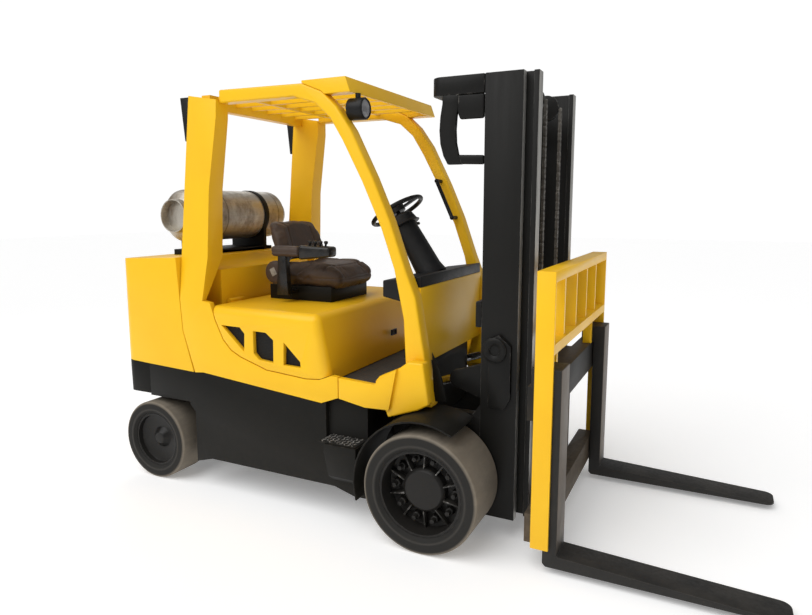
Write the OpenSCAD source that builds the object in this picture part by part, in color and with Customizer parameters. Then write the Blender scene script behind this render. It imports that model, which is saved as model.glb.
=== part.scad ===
// Counterbalanced forklift truck: chassis, overhead guard, two-stage mast, carriage and forks.
// X runs forward, Y to the driver's left and Z up; lengths are millimetres.
// Places along X are measured from the drive axle and shifted once to the middle of the truck.

/* [Wheels] */
// Diameter of a drive tyre
drive_tyre_d = 560; // [500:2:620]
// Width of a drive tyre
drive_tyre_w = 300; // [280:1:304]
// Diameter of the drive tyre's seat on its wheel
drive_rim_d = 406; // [390:1:420]
// Width over the two drive tyres
overall_w = 1434; // [1400:2:1480]
// Diameter of a steer tyre
steer_tyre_d = 450; // [430:2:460]
// Width of a steer tyre
steer_tyre_w = 203; // [180:1:215]
// Diameter of the steer tyre's seat on its wheel
steer_rim_d = 310; // [300:1:320]
// Width over the two steer tyres
steer_track_w = 1238; // [1220:2:1260]
// Distance between the drive axle and the steer axle
wheelbase = 1726; // [1700:2:1760]

/* [Chassis] */
// Width of the body over its side panels
body_w = 1180; // [1160:2:1200]
// Distance from the steer axle to the tail of the counterweight
tail_overhang = 234; // [220:1:260]
// Height of the counterweight's rear top edge
weight_top_z = 1270; // [1240:2:1290]
// Height of the hood's deck
hood_top_z = 1036; // [1030:1:1045]
// Height of the floor plate
floor_z = 700; // [696:1:710]
// Ground clearance below the frame
frame_low_z = 172; // [150:1:200]
// Height of the overhead guard
guard_top_z = 2176; // [2160:2:2200]
// Width of the overhead guard's roof
guard_w = 1010; // [1000:2:1020]

/* [Mast] */
// Height of the lowered mast
mast_top_z = 2150; // [2140:2:2156]
// Width over the mast's outer rails
mast_w = 816; // [812:1:820]
// Clearance between the mast's foot and the floor
mast_low_z = 98; // [90:1:110]
// Distance from the drive axle to the front of the outer rails
mast_front_x = 355; // [350:1:360]
// Depth of one rail of the mast
rail_depth = 175; // [170:1:180]
// Width over the load backrest
backrest_w = 1262; // [1240:2:1280]
// Height of the load backrest
backrest_top_z = 1307; // [1280:1:1320]
// Distance from the drive axle to the upright face of the forks
fork_face_x = 604; // [600:1:612]
// Length of a fork in front of its upright face
fork_len = 880; // [800:2:920]
// Width of a fork
fork_w = 150; // [120:1:160]
// Distance over the two forks
fork_spread = 1228; // [1200:2:1230]

/* [Controls] */
// Diameter of the hand wheel over its rim
hand_wheel_d = 320; // [300:2:340]
// Lean of the steering column from upright
column_lean = 31.5; // [30:0.5:33]

/* [Hidden] */

yellow = [0.93, 0.62, 0.08];
black = [0.07, 0.07, 0.08];
charcoal = [0.16, 0.16, 0.17];
rubber = [0.05, 0.05, 0.05];
steel = [0.55, 0.55, 0.56];
brown = [0.17, 0.10, 0.08];
worn = [0.17, 0.13, 0.11];
silver = [0.62, 0.61, 0.58];

// Shared clearances
seat_gap = 0.3;
pin_gap = 0.3;
seam = 5;
over = 1;
fine = 96;
mid = 48;

// Places along the truck
tail_x = -(wheelbase + tail_overhang);
tip_x = fork_face_x + fork_len;
origin_x = -(tail_x + tip_x) / 2;
steer_x = -wheelbase;
half_w = body_w / 2;
axle_z = drive_tyre_d / 2;
steer_z = steer_tyre_d / 2;
drive_y = (overall_w - drive_tyre_w) / 2;
steer_y = (steer_track_w - steer_tyre_w) / 2;

// Drive wheel and axle
tyre_round = 14;
drive_rim_t = 13;
drive_disc_y = 12;
drive_disc_t = 26;
drive_hub_r = 104;
drive_hub_out = 92;
drive_hub_in = 60;
stud_r = 11;
stud_len = 55;
stud_circle_r = 148;
stud_n = 10;
spindle_r = 48;
spindle_out = 52;
axle_tube_r = 78;
drum_r = 158;
drum_in = 128;
drum_out = 70;
diff_r = 136;
diff_w = 300;

// Steer wheel, knuckle and axle
steer_rim_t = 12;
steer_disc_y = 22;
steer_disc_t = 16;
steer_hub_r = 62;
steer_cap_r = 46;
steer_cap_out = 66;
steer_hub_in = 58;
steer_spindle_r = 28;
steer_spindle_out = 40;
kingpin_y = 404;
kingpin_r = 24;
knuckle_r = 44;
knuckle_h = 150;
beam_w = 130;
beam_end_r = 42;
beam_waist_y = 200;
beam_t = 28;
beam_gap = 2;
trunnion_r = 34;
trunnion_x = 120;
trunnion_t = 44;
hanger_w = 150;
steer_cyl_r = 42;
steer_cyl_len = 420;
steer_arm_len = 96;
steer_arm_w = 46;
steer_arm_t = 24;

// Fenders over the drive wheels
fender_gap = 52;
fender_t = 9;
fender_in_y = 424;
fender_front_a = 62;
fender_rear_a = 196;
fender_n = 16;

// Main frame
frame_side_t = 150;
frame_front_x = -(drive_tyre_d / 2 + fender_gap + fender_t + seat_gap);
frame_front_z = 605;
frame_arch_x = -1428;
frame_deck_x = -1766;
arch_z = 482;
lug_z = 141;
deck_rear_z = 676;
deck_front_z = 655;
deck_mid_z = 668;
lug_run = 110;
arch_run = 52;
line_rear_x = -1358;
line_rear_z = 660;
sweep_r = 320;
strap_z = 452;
line_low_x = -590;
line_low_z = 591;
line_kick_x = -487;
line_kick_z = 630;
step_rear_x = -563;
step_z = 425;
step_out = 92;
step_in_y = 470;
step_t = 44;
step_low_z = 205;
front_rail_y = 230;
front_rail_t = 50;
front_rail_x = 105;
front_rail_top_z = 548;
front_rail_z = 366;
cross_t = 90;
cross_top_z = 500;
bearer_t = 60;
bearer_z = 250;
floor_bearer_w = 90;
floor_t = 10;

// Engine block
engine_x0 = -1280;
engine_x1 = -620;
engine_w = 400;
engine_low_z = 330;
engine_top_z = 930;

// Counterweight and its base
weight_corner_r = 70;
weight_edge = 16;
weight_front_top_x = -1527;
weight_front_top_z = 1288;
weight_front_mid_x = -1497;
weight_front_mid_z = 882;
weight_front_low_x = frame_arch_x;
weight_low_rear_x = -1933;
base_low_z = 492;
base_low_x = -1918;
tow_w = 150;
tow_depth = 130;
tow_lip_t = 34;
tow_gap_h = 130;
tow_r = 21;

// Radiator cover behind the seat
cover_hw = 424;
cover_front_x = -1356;
cover_shelf_x = -1430;

// Rear legs of the guard with their flared skirts
rear_leg_in_y = 430;
rear_leg_top_y = 520;
rear_leg_waist_y = 548;
rear_leg_waist_z = 1290;
skirt_t = 30;
skirt_blend_z = 1060;

// Front legs of the guard with the roof's side rails
front_leg_out_y = guard_w / 2;
front_leg_w = 80;

// Roof of the guard
roof_front_x = -481;
roof_front_low_x = -455;
roof_front_low_z = 2104;
roof_plate_t = 14;
roof_rear_x = -1440;
roof_bar_n = 6;
roof_bar_w = 22;
roof_bar_h = 42;
roof_cross_w = 60;
gusset_run = 66;

// Tail lamps, work lamp and grab handle
tail_lamp_w = 84;
tail_lamp_top = 66;
tail_lamp_low = 22;
tail_lamp_top_z = 2146;
tail_lamp_low_z = 1916;
lamp_x = -448;
lamp_y = -440;
lamp_z = 2030;
lamp_r = 52;
lamp_len = 78;
lamp_neck_r = 13;
handle_r = 11;
handle_elbow_r = 13;
handle_off = 66;
handle_top_x = -380;
handle_top_z = 1716;
handle_low_x = -280;
handle_low_z = 1500;

// Cowl, dash, column and pedals
cowl_t = 30;
cowl_side_top_z = 724;
cowl_foot_x = -212;
cowl_lip_x = -171;
cowl_lip_z = 812;
cowl_dip_x = -260;
cowl_dip_z = 752;
cowl_front_x = -120;
cowl_low_z = 800;
cowl_top_z = 1180;
dash_rear_x = -330;
dash_low_z = 1120;
dash_top_z = 1236;
dash_hw = 420;
toe_x = -300;
toe_t = 12;
column_top_x = -442;
column_top_z = 1512;
column_r = 46;
column_len = 420;
column_shaft_r = 12;
pedal_w = 90;
pedal_h = 70;
pedal_t = 14;
pedal_arm_r = 9;
pedal_stand = 58;
pedal_share = 0.45;
pedal_ys = [-190, -60, 120];

// Floor plate
floor_x0 = -560;
floor_hw = 548;

// Gas tank and its cradle
tank_r = 153;
tank_x = -1690;
tank_z = 1512;
tank_y0 = -400;
tank_y1 = 470;
tank_dome = 62;
tank_collar_r = 96;
tank_collar_len = 70;
tank_collar_t = 7;
cradle_hw = 300;
cradle_x0 = -1830;
cradle_x1 = -1560;
cradle_t = 22;
cradle_saddle_t = 26;
cradle_saddle_y = 230;
cradle_saddle_w = 270;
strap_w = 46;
strap_t = 5;

// Hood with its hinge, grilles and the seat
hood_rear_x = -1322;
hood_front_top_x = -600;
hood_front_low_x = -529;
hood_round = 46;
hood_wall = 24;
hood_low_z = 640;
hinge_r = 14;
hinge_pin_r = 7;
hinge_y = 300;
hinge_w = 90;
grille_t = 8;
grille_slat_t = 5;
grille_slat_n = 7;
seat_hw = 240;
seat_base_x0 = -1190;
seat_base_x1 = -770;
seat_base_h = 84;
seat_base_hw = 200;
cushion_x0 = -1150;
cushion_x1 = -690;
cushion_t = 120;
cushion_round = 34;
back_low_x = -1130;
back_top_x = -1196;
back_t = 120;
back_top_z = 1500;
arm_y = -300;
arm_w = 76;
arm_x0 = -1090;
arm_x1 = -700;
arm_low_z = 1296;
arm_t = 62;
arm_post_w = 50;

// Mast rails, ties and hangers
half_mast = mast_w / 2;
rail_web = 20;
rail_flange = 25;
rail_rear_w = 82;
rail_lip_w = 44;
rail_run = 7;
inner_shift = 61;
inner_out_y = half_mast - rail_web - rail_run;
inner_w = 63;
inner_web = 18;
inner_low_z = 118;
mast_rear_x = mast_front_x - rail_depth;
inner_front_x = mast_front_x + inner_shift;
inner_rear_x = inner_front_x - rail_depth;
yoke_rear_x = -85;
yoke_t = 64;
yoke_low_z = 2066;
yoke_plate_t = 26;
yoke_foot_z = 1750;
yoke_foot_h = 44;
yoke_leg_x = -26;
yoke_leg_w = 80;
tie_t = 30;
tie_h = 120;
tie_low_z = 150;
tie_mid_z = 1010;
hang_in_y = 344;
hang_t = 56;
hang_r = 118;
hang_top_z = 640;
hang_low_z = 140;
hook_x0 = 224;
hook_x1 = 330;
hook_low_z = 640;
hook_top_z = 985;
hook_t = 24;
lug_x = 55;
lug_pin_z = 745;
lug_pin_r = 18;
lug_r = 44;
lug_t = 24;

// Lift cylinders, chains and sheaves
lift_y = 268;
lift_barrel_r = 36;
lift_x = mast_rear_x + lift_barrel_r;
lift_barrel_low_z = 150;
lift_barrel_top_z = 1860;
lift_rod_r = 22;
inner_top_tie_z = 1985;
inner_tie_h = 110;
inner_tie_t = 28;
inner_foot_x = 258;
sheave_r = 62;
sheave_w = 34;
sheave_y = 150;
sheave_z = 2060;
sheave_x = 318;
chain_w = 28;
chain_t = 14;
chain_anchor_z = 560;

// Carriage, backrest and forks
bar_rear_x = 456;
bar_front_x = 538;
bar_hw = 596;
bar_up_low_z = 664;
bar_up_top_z = 812;
bar_low_low_z = 116;
bar_low_top_z = 246;
side_in_y = 232;
side_t = 60;
side_rear_x = 300;
roller_r = 57;
roller_w = 20;
roller_x = 328;
roller_low_z = 240;
roller_top_z = 690;
backrest_rear_x = 493;
backrest_front_x = 570;
backrest_plate_t = 14;
backrest_bar_low_z = 962;
backrest_bar_n = 6;
backrest_bar_w = 22;
backrest_rail_t = 44;
bracket_y = fork_spread / 2 - fork_w - 4 * backrest_plate_t;
fork_t = 62;
fork_top_z = 900;
fork_heel_z = 86;
fork_tip_z = 44;
fork_low_z = 30;
fork_tip_round = 40;

// Tilt cylinders
tilt_y = 328;
tilt_pin_x = -620;
tilt_pin_z = 520;
tilt_pin_r = 18;
tilt_barrel_r = 44;
tilt_barrel_len = 430;
tilt_rod_r = 21;
tilt_eye_r = 34;
tilt_eye_w = 36;
tilt_eye_gap = 3;
tilt_stroke_back = 56;
tilt_dx = lug_x - tilt_pin_x;
tilt_dz = lug_pin_z - tilt_pin_z;
tilt_len = sqrt(tilt_dx * tilt_dx + tilt_dz * tilt_dz);
tilt_a = atan2(tilt_dz, tilt_dx);

// Side outlines, as shares of a length along the truck and of a height
outline_len = 1726;
outline_h = 2176;
hood_seam_shares = [
    [-0.7486, 0.4835], [-0.7312, 0.4412], [-0.7016, 0.3938], [-0.6721, 0.3699], [-0.6356, 0.3557],
    [-0.5377, 0.3318], [-0.3963, 0.3235], [-0.3476, 0.3267], [-0.3065, 0.3396]];
rear_leg_shares = [
    [-0.8384, 0.9890], [-0.8644, 0.7523], [-0.8818, 0.5910], [-0.8644, 0.4053], [-0.8210, 0.3015],
    [-0.7868, 0.3042], [-0.3418, 0.2730], [-0.2851, 0.2904], [-0.2851, 0.3382]];
rear_leg_top_shares = [
    [-0.7793, 0.4871], [-0.7625, 0.7610], [-0.7300, 0.9334], [-0.7289, 0.9743]];
front_leg_shares = [
    [-0.0139, 0.2858], [-0.0660, 0.5253], [-0.0985, 0.5892], [-0.1437, 0.6903], [-0.1958, 0.7831],
    [-0.2625, 0.8860], [-0.3100, 0.9389], [-0.3581, 0.9738], [-0.4229, 0.9945], [-0.7271, 0.9982],
    [-0.7271, 0.9669], [-0.4537, 0.9669], [-0.3806, 0.9494], [-0.3314, 0.9154], [-0.2908, 0.8640],
    [-0.2300, 0.7744], [-0.1703, 0.6719], [-0.1309, 0.5836], [-0.1020, 0.4756], [-0.0956, 0.3732],
    [-0.1194, 0.2822]];
louvre_shares = [[
    [-0.7063, 0.4311], [-0.6338, 0.4301], [-0.6159, 0.4154], [-0.6188, 0.3699]], [
    [-0.5829, 0.4242], [-0.5359, 0.4237], [-0.5081, 0.4072], [-0.5093, 0.3520], [-0.5632, 0.3557],
    [-0.5829, 0.3699]], [
    [-0.4705, 0.4049], [-0.4125, 0.3631], [-0.4108, 0.3488], [-0.4728, 0.3502]]];
hood_seam = sized(hood_seam_shares);
rear_leg_outline = concat(sized(rear_leg_shares), [for (i = [len(hood_seam) - 1 : -1 : 0]) hood_seam[i]],
    sized(rear_leg_top_shares));
front_leg_outline = sized(front_leg_shares);
louvre_outlines = [for (p = louvre_shares) sized(p)];
frame_outline = [[frame_arch_x, lug_z], [frame_arch_x + lug_run, frame_low_z],
    [step_rear_x + step_t, frame_low_z], [step_rear_x + step_t + lug_run, lug_z],
    [frame_front_x, lug_z], [frame_front_x, frame_front_z], [line_kick_x, line_kick_z],
    [line_low_x, line_low_z], [line_rear_x, line_rear_z], [frame_arch_x, deck_front_z],
    [frame_deck_x, deck_mid_z], [frame_deck_x, arch_z], [frame_arch_x - arch_run, arch_z],
    [frame_arch_x, arch_z - arch_run]];
weight_outline = [[weight_front_top_x, weight_front_top_z], [tail_x + weight_edge, weight_top_z],
    [tail_x, weight_top_z - weight_edge], [weight_low_rear_x, deck_rear_z + seat_gap],
    [frame_deck_x, deck_mid_z + seat_gap], [weight_front_low_x, deck_front_z + seat_gap], [weight_front_mid_x, weight_front_mid_z]];
cowl_side_outline = [[line_kick_x, line_kick_z + seat_gap], [frame_front_x, frame_front_z + seat_gap],
    [cowl_foot_x, frame_front_z + seam], [cowl_lip_x, cowl_lip_z], [cowl_dip_x, cowl_dip_z],
    [cowl_dip_x - cowl_t, cowl_side_top_z], [line_kick_x, cowl_side_top_z + 2 * seam]];

function sized(shares) = [for (p = shares) [p[0] * outline_len, p[1] * outline_h]];

function arc(cx, cy, r, a0, a1, n) = [for (i = [0 : n]) [cx + r * cos(a0 + (a1 - a0) * i / n),
    cy + r * sin(a0 + (a1 - a0) * i / n)]];

// Moves the truck's middle to the origin
module place() {
    translate([origin_x, 0, 0])
        children();
}

// A piece and its mirror image on the truck's other side
module both() {
    children();
    mirror([0, 1, 0])
        children();
}

// A side outline between two places across the truck
module across(points, y0, y1) {
    translate([0, y1, 0])
        rotate([90, 0, 0])
            linear_extrude(y1 - y0)
                polygon(points);
}

// A front outline between two places along the truck
module along(points, x0, x1) {
    translate([x0, 0, 0])
        rotate([90, 0, 90])
            linear_extrude(x1 - x0)
                polygon(points);
}

// A box between two corners
module block(x0, x1, y0, y1, z0, z1) {
    translate([x0, y0, z0])
        cube([x1 - x0, y1 - y0, z1 - z0]);
}

// A round bar across the truck
module bar_y(x, z, y0, y1, r) {
    translate([x, y0, z])
        rotate([-90, 0, 0])
            cylinder(h = y1 - y0, r = r, $fn = mid);
}

// A round bar along the truck
module bar_x(y, z, x0, x1, r) {
    translate([x0, y, z])
        rotate([0, 90, 0])
            cylinder(h = x1 - x0, r = r, $fn = mid);
}

// A round upright bar
module bar_z(x, y, z0, z1, r) {
    translate([x, y, z0])
        cylinder(h = z1 - z0, r = r, $fn = mid);
}

// A turned piece about a wheel's axle, outlined as radius and place across the truck
module turned(x, y, z, points) {
    translate([x, y, z])
        rotate([-90, 0, 0])
            rotate_extrude($fn = fine)
                polygon(points);
}

// Black side tanks, step, deck, cross members and axle hangers
module main_frame() {
    color(black)
        place() {
            difference() {
                both()
                    union() {
                        across(frame_outline, half_w - frame_side_t, half_w);
                        step_block();
                        block(frame_front_x - over, front_rail_x, front_rail_y, front_rail_y + front_rail_t,
                            front_rail_z, front_rail_top_z);
                        block(step_rear_x, frame_front_x, half_w - frame_side_t,
                            half_w - frame_side_t + floor_bearer_w, line_low_z - frame_side_t, floor_z - floor_t);
                        bar_y(tilt_pin_x, tilt_pin_z, tilt_y - tilt_eye_w / 2, half_w - frame_side_t + over,
                            tilt_pin_r);
                    }
                both() {
                    block(step_rear_x, frame_front_x + over, step_in_y + floor_bearer_w, half_w + step_out + over,
                        step_z, floor_z);
                    bar_z(steer_x, kingpin_y, 0, arch_z, sweep_r);
                }
            }
            block(frame_front_x - cross_t, frame_front_x, -half_w + frame_side_t - over, half_w - frame_side_t + over,
                frame_low_z, cross_top_z);
            block(engine_x0 - bearer_t / 2, engine_x0 + bearer_t / 2, -half_w + frame_side_t - over,
                half_w - frame_side_t + over, bearer_z, engine_low_z);
            block(engine_x1 - bearer_t / 2, engine_x1 + bearer_t / 2, -half_w + frame_side_t - over,
                half_w - frame_side_t + over, bearer_z, engine_low_z);
            difference() {
                union() {
                    block(frame_deck_x, cover_front_x, -half_w + frame_side_t - over, half_w - frame_side_t + over,
                        arch_z, deck_front_z - over);
                    block(steer_x - trunnion_x - trunnion_t / 2, frame_deck_x + trunnion_t, -hanger_w / 2,
                        hanger_w / 2, strap_z, base_low_z - seat_gap);
                    for (s = [-1, 1])
                        block(steer_x + s * trunnion_x - trunnion_t / 2, steer_x + s * trunnion_x + trunnion_t / 2,
                            -hanger_w / 2, hanger_w / 2, steer_z - hanger_w / 2, arch_z + over);
                }
                bar_x(0, steer_z, steer_x - trunnion_x - trunnion_t, steer_x + trunnion_x + trunnion_t,
                    trunnion_r + pin_gap);
            }
        }
}

// One side's boarding step below the floor
module step_block() {
    along([[half_w - over, step_low_z], [half_w + step_out * 0.6, step_low_z + step_t],
        [half_w + step_out, step_z - step_t], [half_w + step_out, step_z], [half_w - over, step_z]],
        step_rear_x + step_t, frame_front_x);
}

// Yellow casting at the tail
module counterweight() {
    color(yellow)
        place()
            intersection() {
                across(weight_outline, -half_w, half_w);
                linear_extrude(guard_top_z)
                        polygon(weight_plan());
            }
}

function weight_plan() = concat([[-half_w, -half_w]], [[-half_w, half_w]],
    arc(tail_x + weight_corner_r, half_w - weight_corner_r, weight_corner_r, 90, 180, 8),
    arc(tail_x + weight_corner_r, weight_corner_r - half_w, weight_corner_r, 180, 270, 8));

// Black foot of the casting with the tow jaw and its pin holes
module counterweight_base() {
    color(black)
        place()
            difference() {
                intersection() {
                    across([[weight_low_rear_x, deck_rear_z], [frame_deck_x - seat_gap, deck_mid_z],
                        [frame_deck_x - seat_gap, base_low_z], [base_low_x, base_low_z]], -half_w, half_w);
                    linear_extrude(guard_top_z)
                        polygon(weight_plan());
                }
                block(tail_x - over, weight_low_rear_x + tow_depth, -tow_w / 2, tow_w / 2,
                    base_low_z + tow_lip_t, base_low_z + tow_lip_t + tow_gap_h);
                bar_z(weight_low_rear_x + tow_depth / 2, 0, base_low_z - over, base_low_z + tow_lip_t + over, tow_r);
            }
}

// Yellow cover between the rear legs, hollowed towards the seat, with the hood's hinge pins
module radiator_cover() {
    pin_x = hood_rear_x - hinge_r;
    color(yellow)
        place() {
            across(concat([[weight_front_top_x + seam, weight_front_top_z], [cover_shelf_x, weight_front_top_z]],
                arc(cover_front_x, weight_front_top_z, cover_front_x - cover_shelf_x, 180, 270, 8),
                [[cover_front_x, deck_front_z - over + seat_gap],
                    [weight_front_low_x + seam, deck_front_z - over + seat_gap],
                    [weight_front_mid_x + seam, weight_front_mid_z]]), -cover_hw, cover_hw);
            both() {
                bar_y(pin_x, hood_top_z, hinge_y - hinge_w / 2, hinge_y + hinge_w, hinge_pin_r);
                block(cover_front_x - over, pin_x + hinge_pin_r, hinge_y - hinge_w / 2, hinge_y - over,
                    hood_top_z - hinge_pin_r, hood_top_z + hinge_pin_r);
            }
        }
}

// Yellow rear posts of the guard, flaring into the side skirts
module rear_legs() {
    color(yellow)
        place()
            both()
                intersection() {
                    across(rear_leg_outline, rear_leg_in_y, half_w);
                    along([[half_w - skirt_t, line_low_z - seam], [half_w, line_low_z - seam],
                        [half_w, skirt_blend_z], [rear_leg_waist_y, rear_leg_waist_z],
                        [rear_leg_top_y, guard_top_z], [rear_leg_in_y, guard_top_z],
                        [rear_leg_in_y, rear_leg_waist_z], [half_w - skirt_t, skirt_blend_z]], tail_x, 0);
                }
}

// Yellow front posts of the guard, bent back into the roof's side rails
module front_legs() {
    color(yellow)
        place()
            both()
                across(front_leg_outline, front_leg_out_y - front_leg_w, front_leg_out_y);
}

// Roof of the guard: front plate, rear cross bar and bars
module guard_roof() {
    color(yellow)
        place() {
            across([[roof_front_x, guard_top_z], [roof_front_low_x, roof_front_low_z],
                [roof_front_low_x - roof_plate_t, roof_front_low_z], [roof_front_x - 2 * roof_plate_t,
                guard_top_z - roof_plate_t], [roof_front_x - roof_cross_w, guard_top_z - roof_plate_t],
                [roof_front_x - roof_cross_w, guard_top_z]], -guard_w / 2 + over, guard_w / 2 - over);
            both()
                across([[roof_front_x, guard_top_z], [roof_front_low_x, roof_front_low_z],
                    front_leg_outline[6] + [-gusset_run, roof_front_low_z - front_leg_outline[6][1]],
                    front_leg_outline[7] + [0, 2 * seat_gap], front_leg_outline[8] + [0, 2 * seat_gap],
                    [front_leg_outline[8][0], guard_top_z]], front_leg_out_y - front_leg_w, front_leg_out_y - over);
            block(roof_rear_x, roof_rear_x + roof_cross_w, -rear_leg_in_y, rear_leg_in_y,
                guard_top_z - 2 * roof_bar_h, guard_top_z - 2 * seam);
            for (i = [0 : roof_bar_n - 1])
                block(roof_rear_x, roof_front_x - over,
                    roof_bar_y(i) - roof_bar_w / 2, roof_bar_y(i) + roof_bar_w / 2,
                    guard_top_z - 2 * seam - roof_bar_h, guard_top_z - 2 * seam);
            for (s = [0.3, 0.65])
                block(roof_rear_x + (roof_front_x - roof_rear_x) * s,
                    roof_rear_x + (roof_front_x - roof_rear_x) * s + roof_bar_w,
                    -front_leg_out_y + front_leg_w + seat_gap, front_leg_out_y - front_leg_w - seat_gap,
                    guard_top_z - 2 * seam - roof_bar_h, guard_top_z - 2 * seam);
        }
}

function roof_bar_y(i) = (front_leg_out_y - front_leg_w) * (2 * (i + 0.5) / roof_bar_n - 1);

// Dark tapered lamp housings behind the tops of the rear legs
module tail_lamps() {
    color(charcoal)
        place()
            both()
                across([[rear_edge_x(tail_lamp_top_z), tail_lamp_top_z],
                    [rear_edge_x(tail_lamp_top_z) - tail_lamp_top, tail_lamp_top_z],
                    [rear_edge_x(tail_lamp_low_z) - tail_lamp_low, tail_lamp_low_z],
                    [rear_edge_x(tail_lamp_low_z), tail_lamp_low_z]],
                    rear_leg_top_y - tail_lamp_w, rear_leg_top_y - seam);
}

// Rear edge of a rear leg at a height, less the seating gap
function rear_edge_x(z) = rear_leg_outline[0][0] - seat_gap + (rear_leg_outline[1][0] - rear_leg_outline[0][0])
    * (z - rear_leg_outline[0][1]) / (rear_leg_outline[1][1] - rear_leg_outline[0][1]);

// Round work lamp on a short neck below the roof's front corner
module work_lamp() {
    color(black)
        place() {
            bar_x(lamp_y, lamp_z, lamp_x - lamp_len / 2, lamp_x + lamp_len / 2, lamp_r);
            bar_z(lamp_x, lamp_y, lamp_z, roof_front_low_z - seat_gap, lamp_neck_r);
        }
}

// Bent rod on the left front leg
module grab_handle() {
    run = handle_top_x - handle_low_x;
    rise = handle_top_z - handle_low_z;
    rod_y = front_leg_out_y - front_leg_w - handle_off;
    color(black)
        place() {
            for (s = [0, 1])
                translate([handle_low_x + run * s, rod_y, handle_low_z + rise * s]) {
                    sphere(r = handle_elbow_r, $fn = mid);
                    rotate([-90, 0, 0])
                        cylinder(h = handle_off - seat_gap, r = handle_r, $fn = mid);
                }
            translate([handle_low_x, rod_y, handle_low_z])
                rotate([0, atan2(run, rise), 0])
                    cylinder(h = norm([run, rise]), r = handle_r, $fn = mid);
        }
}

// Engine as one block on its two bearers
module engine_block() {
    color(charcoal)
        place()
            block(engine_x0, engine_x1, -engine_w / 2, engine_w / 2, engine_low_z, engine_top_z);
}

// Yellow cowl: panel below the dash and the low side walls by the steps
module cowl() {
    color(yellow)
        place() {
            both()
                across(cowl_side_outline, half_w - cowl_t, half_w);
            block(cowl_front_x - cowl_t, cowl_front_x, -front_leg_out_y + front_leg_w + seat_gap,
                front_leg_out_y - front_leg_w - seat_gap, cowl_low_z, cowl_top_z);
            both()
                block(cowl_lip_x - 2 * cowl_t, cowl_lip_x, front_leg_out_y + seat_gap, half_w - cowl_t + over,
                    frame_front_z + 2 * cowl_t, cowl_side_top_z);
        }
}

// Black instrument tray on the cowl
module dash() {
    color(black)
        place()
            across([[dash_rear_x, dash_low_z + seam], [cowl_front_x - cowl_t - seat_gap, dash_low_z - cowl_t],
                [cowl_front_x - cowl_t - seat_gap, cowl_top_z + seat_gap], [cowl_front_x, cowl_top_z + seat_gap],
                [cowl_front_x, dash_top_z], [dash_rear_x, dash_top_z - cowl_t]], -dash_hw, dash_hw);
}

// Leaning column that carries the hand wheel
module steering_column() {
    color(black)
        place()
            difference() {
                translate([column_top_x, 0, column_top_z])
                    rotate([0, -column_lean, 0])
                        union() {
                            translate([0, 0, -column_len])
                                cylinder(h = column_len, r = column_r, $fn = mid);
                            cylinder(h = column_r, r = column_shaft_r, $fn = mid);
                        }
                across([[dash_rear_x - seat_gap, dash_low_z + seam], [cowl_front_x, dash_low_z - cowl_t - seat_gap],
                    [cowl_front_x, dash_top_z], [dash_rear_x - seat_gap, dash_top_z - cowl_t + seat_gap]],
                    -dash_hw, dash_hw);
            }
}

// Floor plate with the toe board rising to the cowl
module floor_plate() {
    color(charcoal)
        place() {
            block(floor_x0, toe_x, -floor_hw, floor_hw, floor_z - floor_t, floor_z);
            across([[toe_x - over, floor_z - floor_t], [cowl_front_x - cowl_t - seat_gap, cowl_low_z],
                [cowl_front_x - cowl_t - seat_gap, cowl_low_z + toe_t], [toe_x - over, floor_z]],
                -front_leg_out_y + front_leg_w + seat_gap, front_leg_out_y - front_leg_w - seat_gap);
        }
}

// Foot pedals standing on the toe board
module pedals() {
    run = cowl_front_x - cowl_t - seat_gap - toe_x;
    rise = cowl_low_z + toe_t - floor_z;
    color(black)
        place()
            for (y = pedal_ys)
                translate([toe_x + run * pedal_share, y, floor_z + rise * pedal_share])
                    rotate([0, -atan2(rise, run), 0]) {
                        translate([0, 0, seat_gap])
                            cylinder(h = pedal_stand, r = pedal_arm_r, $fn = mid);
                        translate([-pedal_h / 2, -pedal_w / 2, pedal_stand])
                            cube([pedal_h, pedal_w, pedal_t]);
                    }
}

// Black arched fenders over the drive wheels
module fenders() {
    color(black)
        place()
            both()
                across(concat(arc(0, axle_z, axle_z + fender_gap + fender_t, fender_front_a, fender_rear_a, fender_n),
                    arc(0, axle_z, axle_z + fender_gap, fender_rear_a, fender_front_a, fender_n)),
                    fender_in_y, overall_w / 2 - seam);
}

// Drive axle housing with its drums, spindles and saddles
module drive_axle() {
    color(charcoal)
        place() {
            bar_y(0, axle_z, -drive_y + drum_in - over, drive_y - drum_in + over, axle_tube_r);
            bar_y(0, axle_z, -diff_w / 2, diff_w / 2, diff_r);
            both() {
                bar_y(0, axle_z, drive_y - drum_in, drive_y - drum_out, drum_r);
                bar_y(0, axle_z, drive_y - drum_out - over, drive_y + spindle_out, spindle_r);
                block(-axle_tube_r, axle_tube_r, front_rail_y, front_rail_y + front_rail_t, axle_z,
                    front_rail_z - seat_gap);
            }
        }
}

module drive_tyre(s) {
    w = drive_tyre_w / 2;
    r = drive_tyre_d / 2;
    color(rubber)
        place()
            turned(0, s * drive_y, axle_z, concat([[drive_rim_d / 2 + seat_gap, -w + tyre_round],
                [drive_rim_d / 2 + tyre_round, -w]], arc(r - tyre_round, tyre_round - w, tyre_round, -90, 0, 6),
                arc(r - tyre_round, w - tyre_round, tyre_round, 0, 90, 6),
                [[drive_rim_d / 2 + tyre_round, w], [drive_rim_d / 2 + seat_gap, w - tyre_round]]));
}

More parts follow.
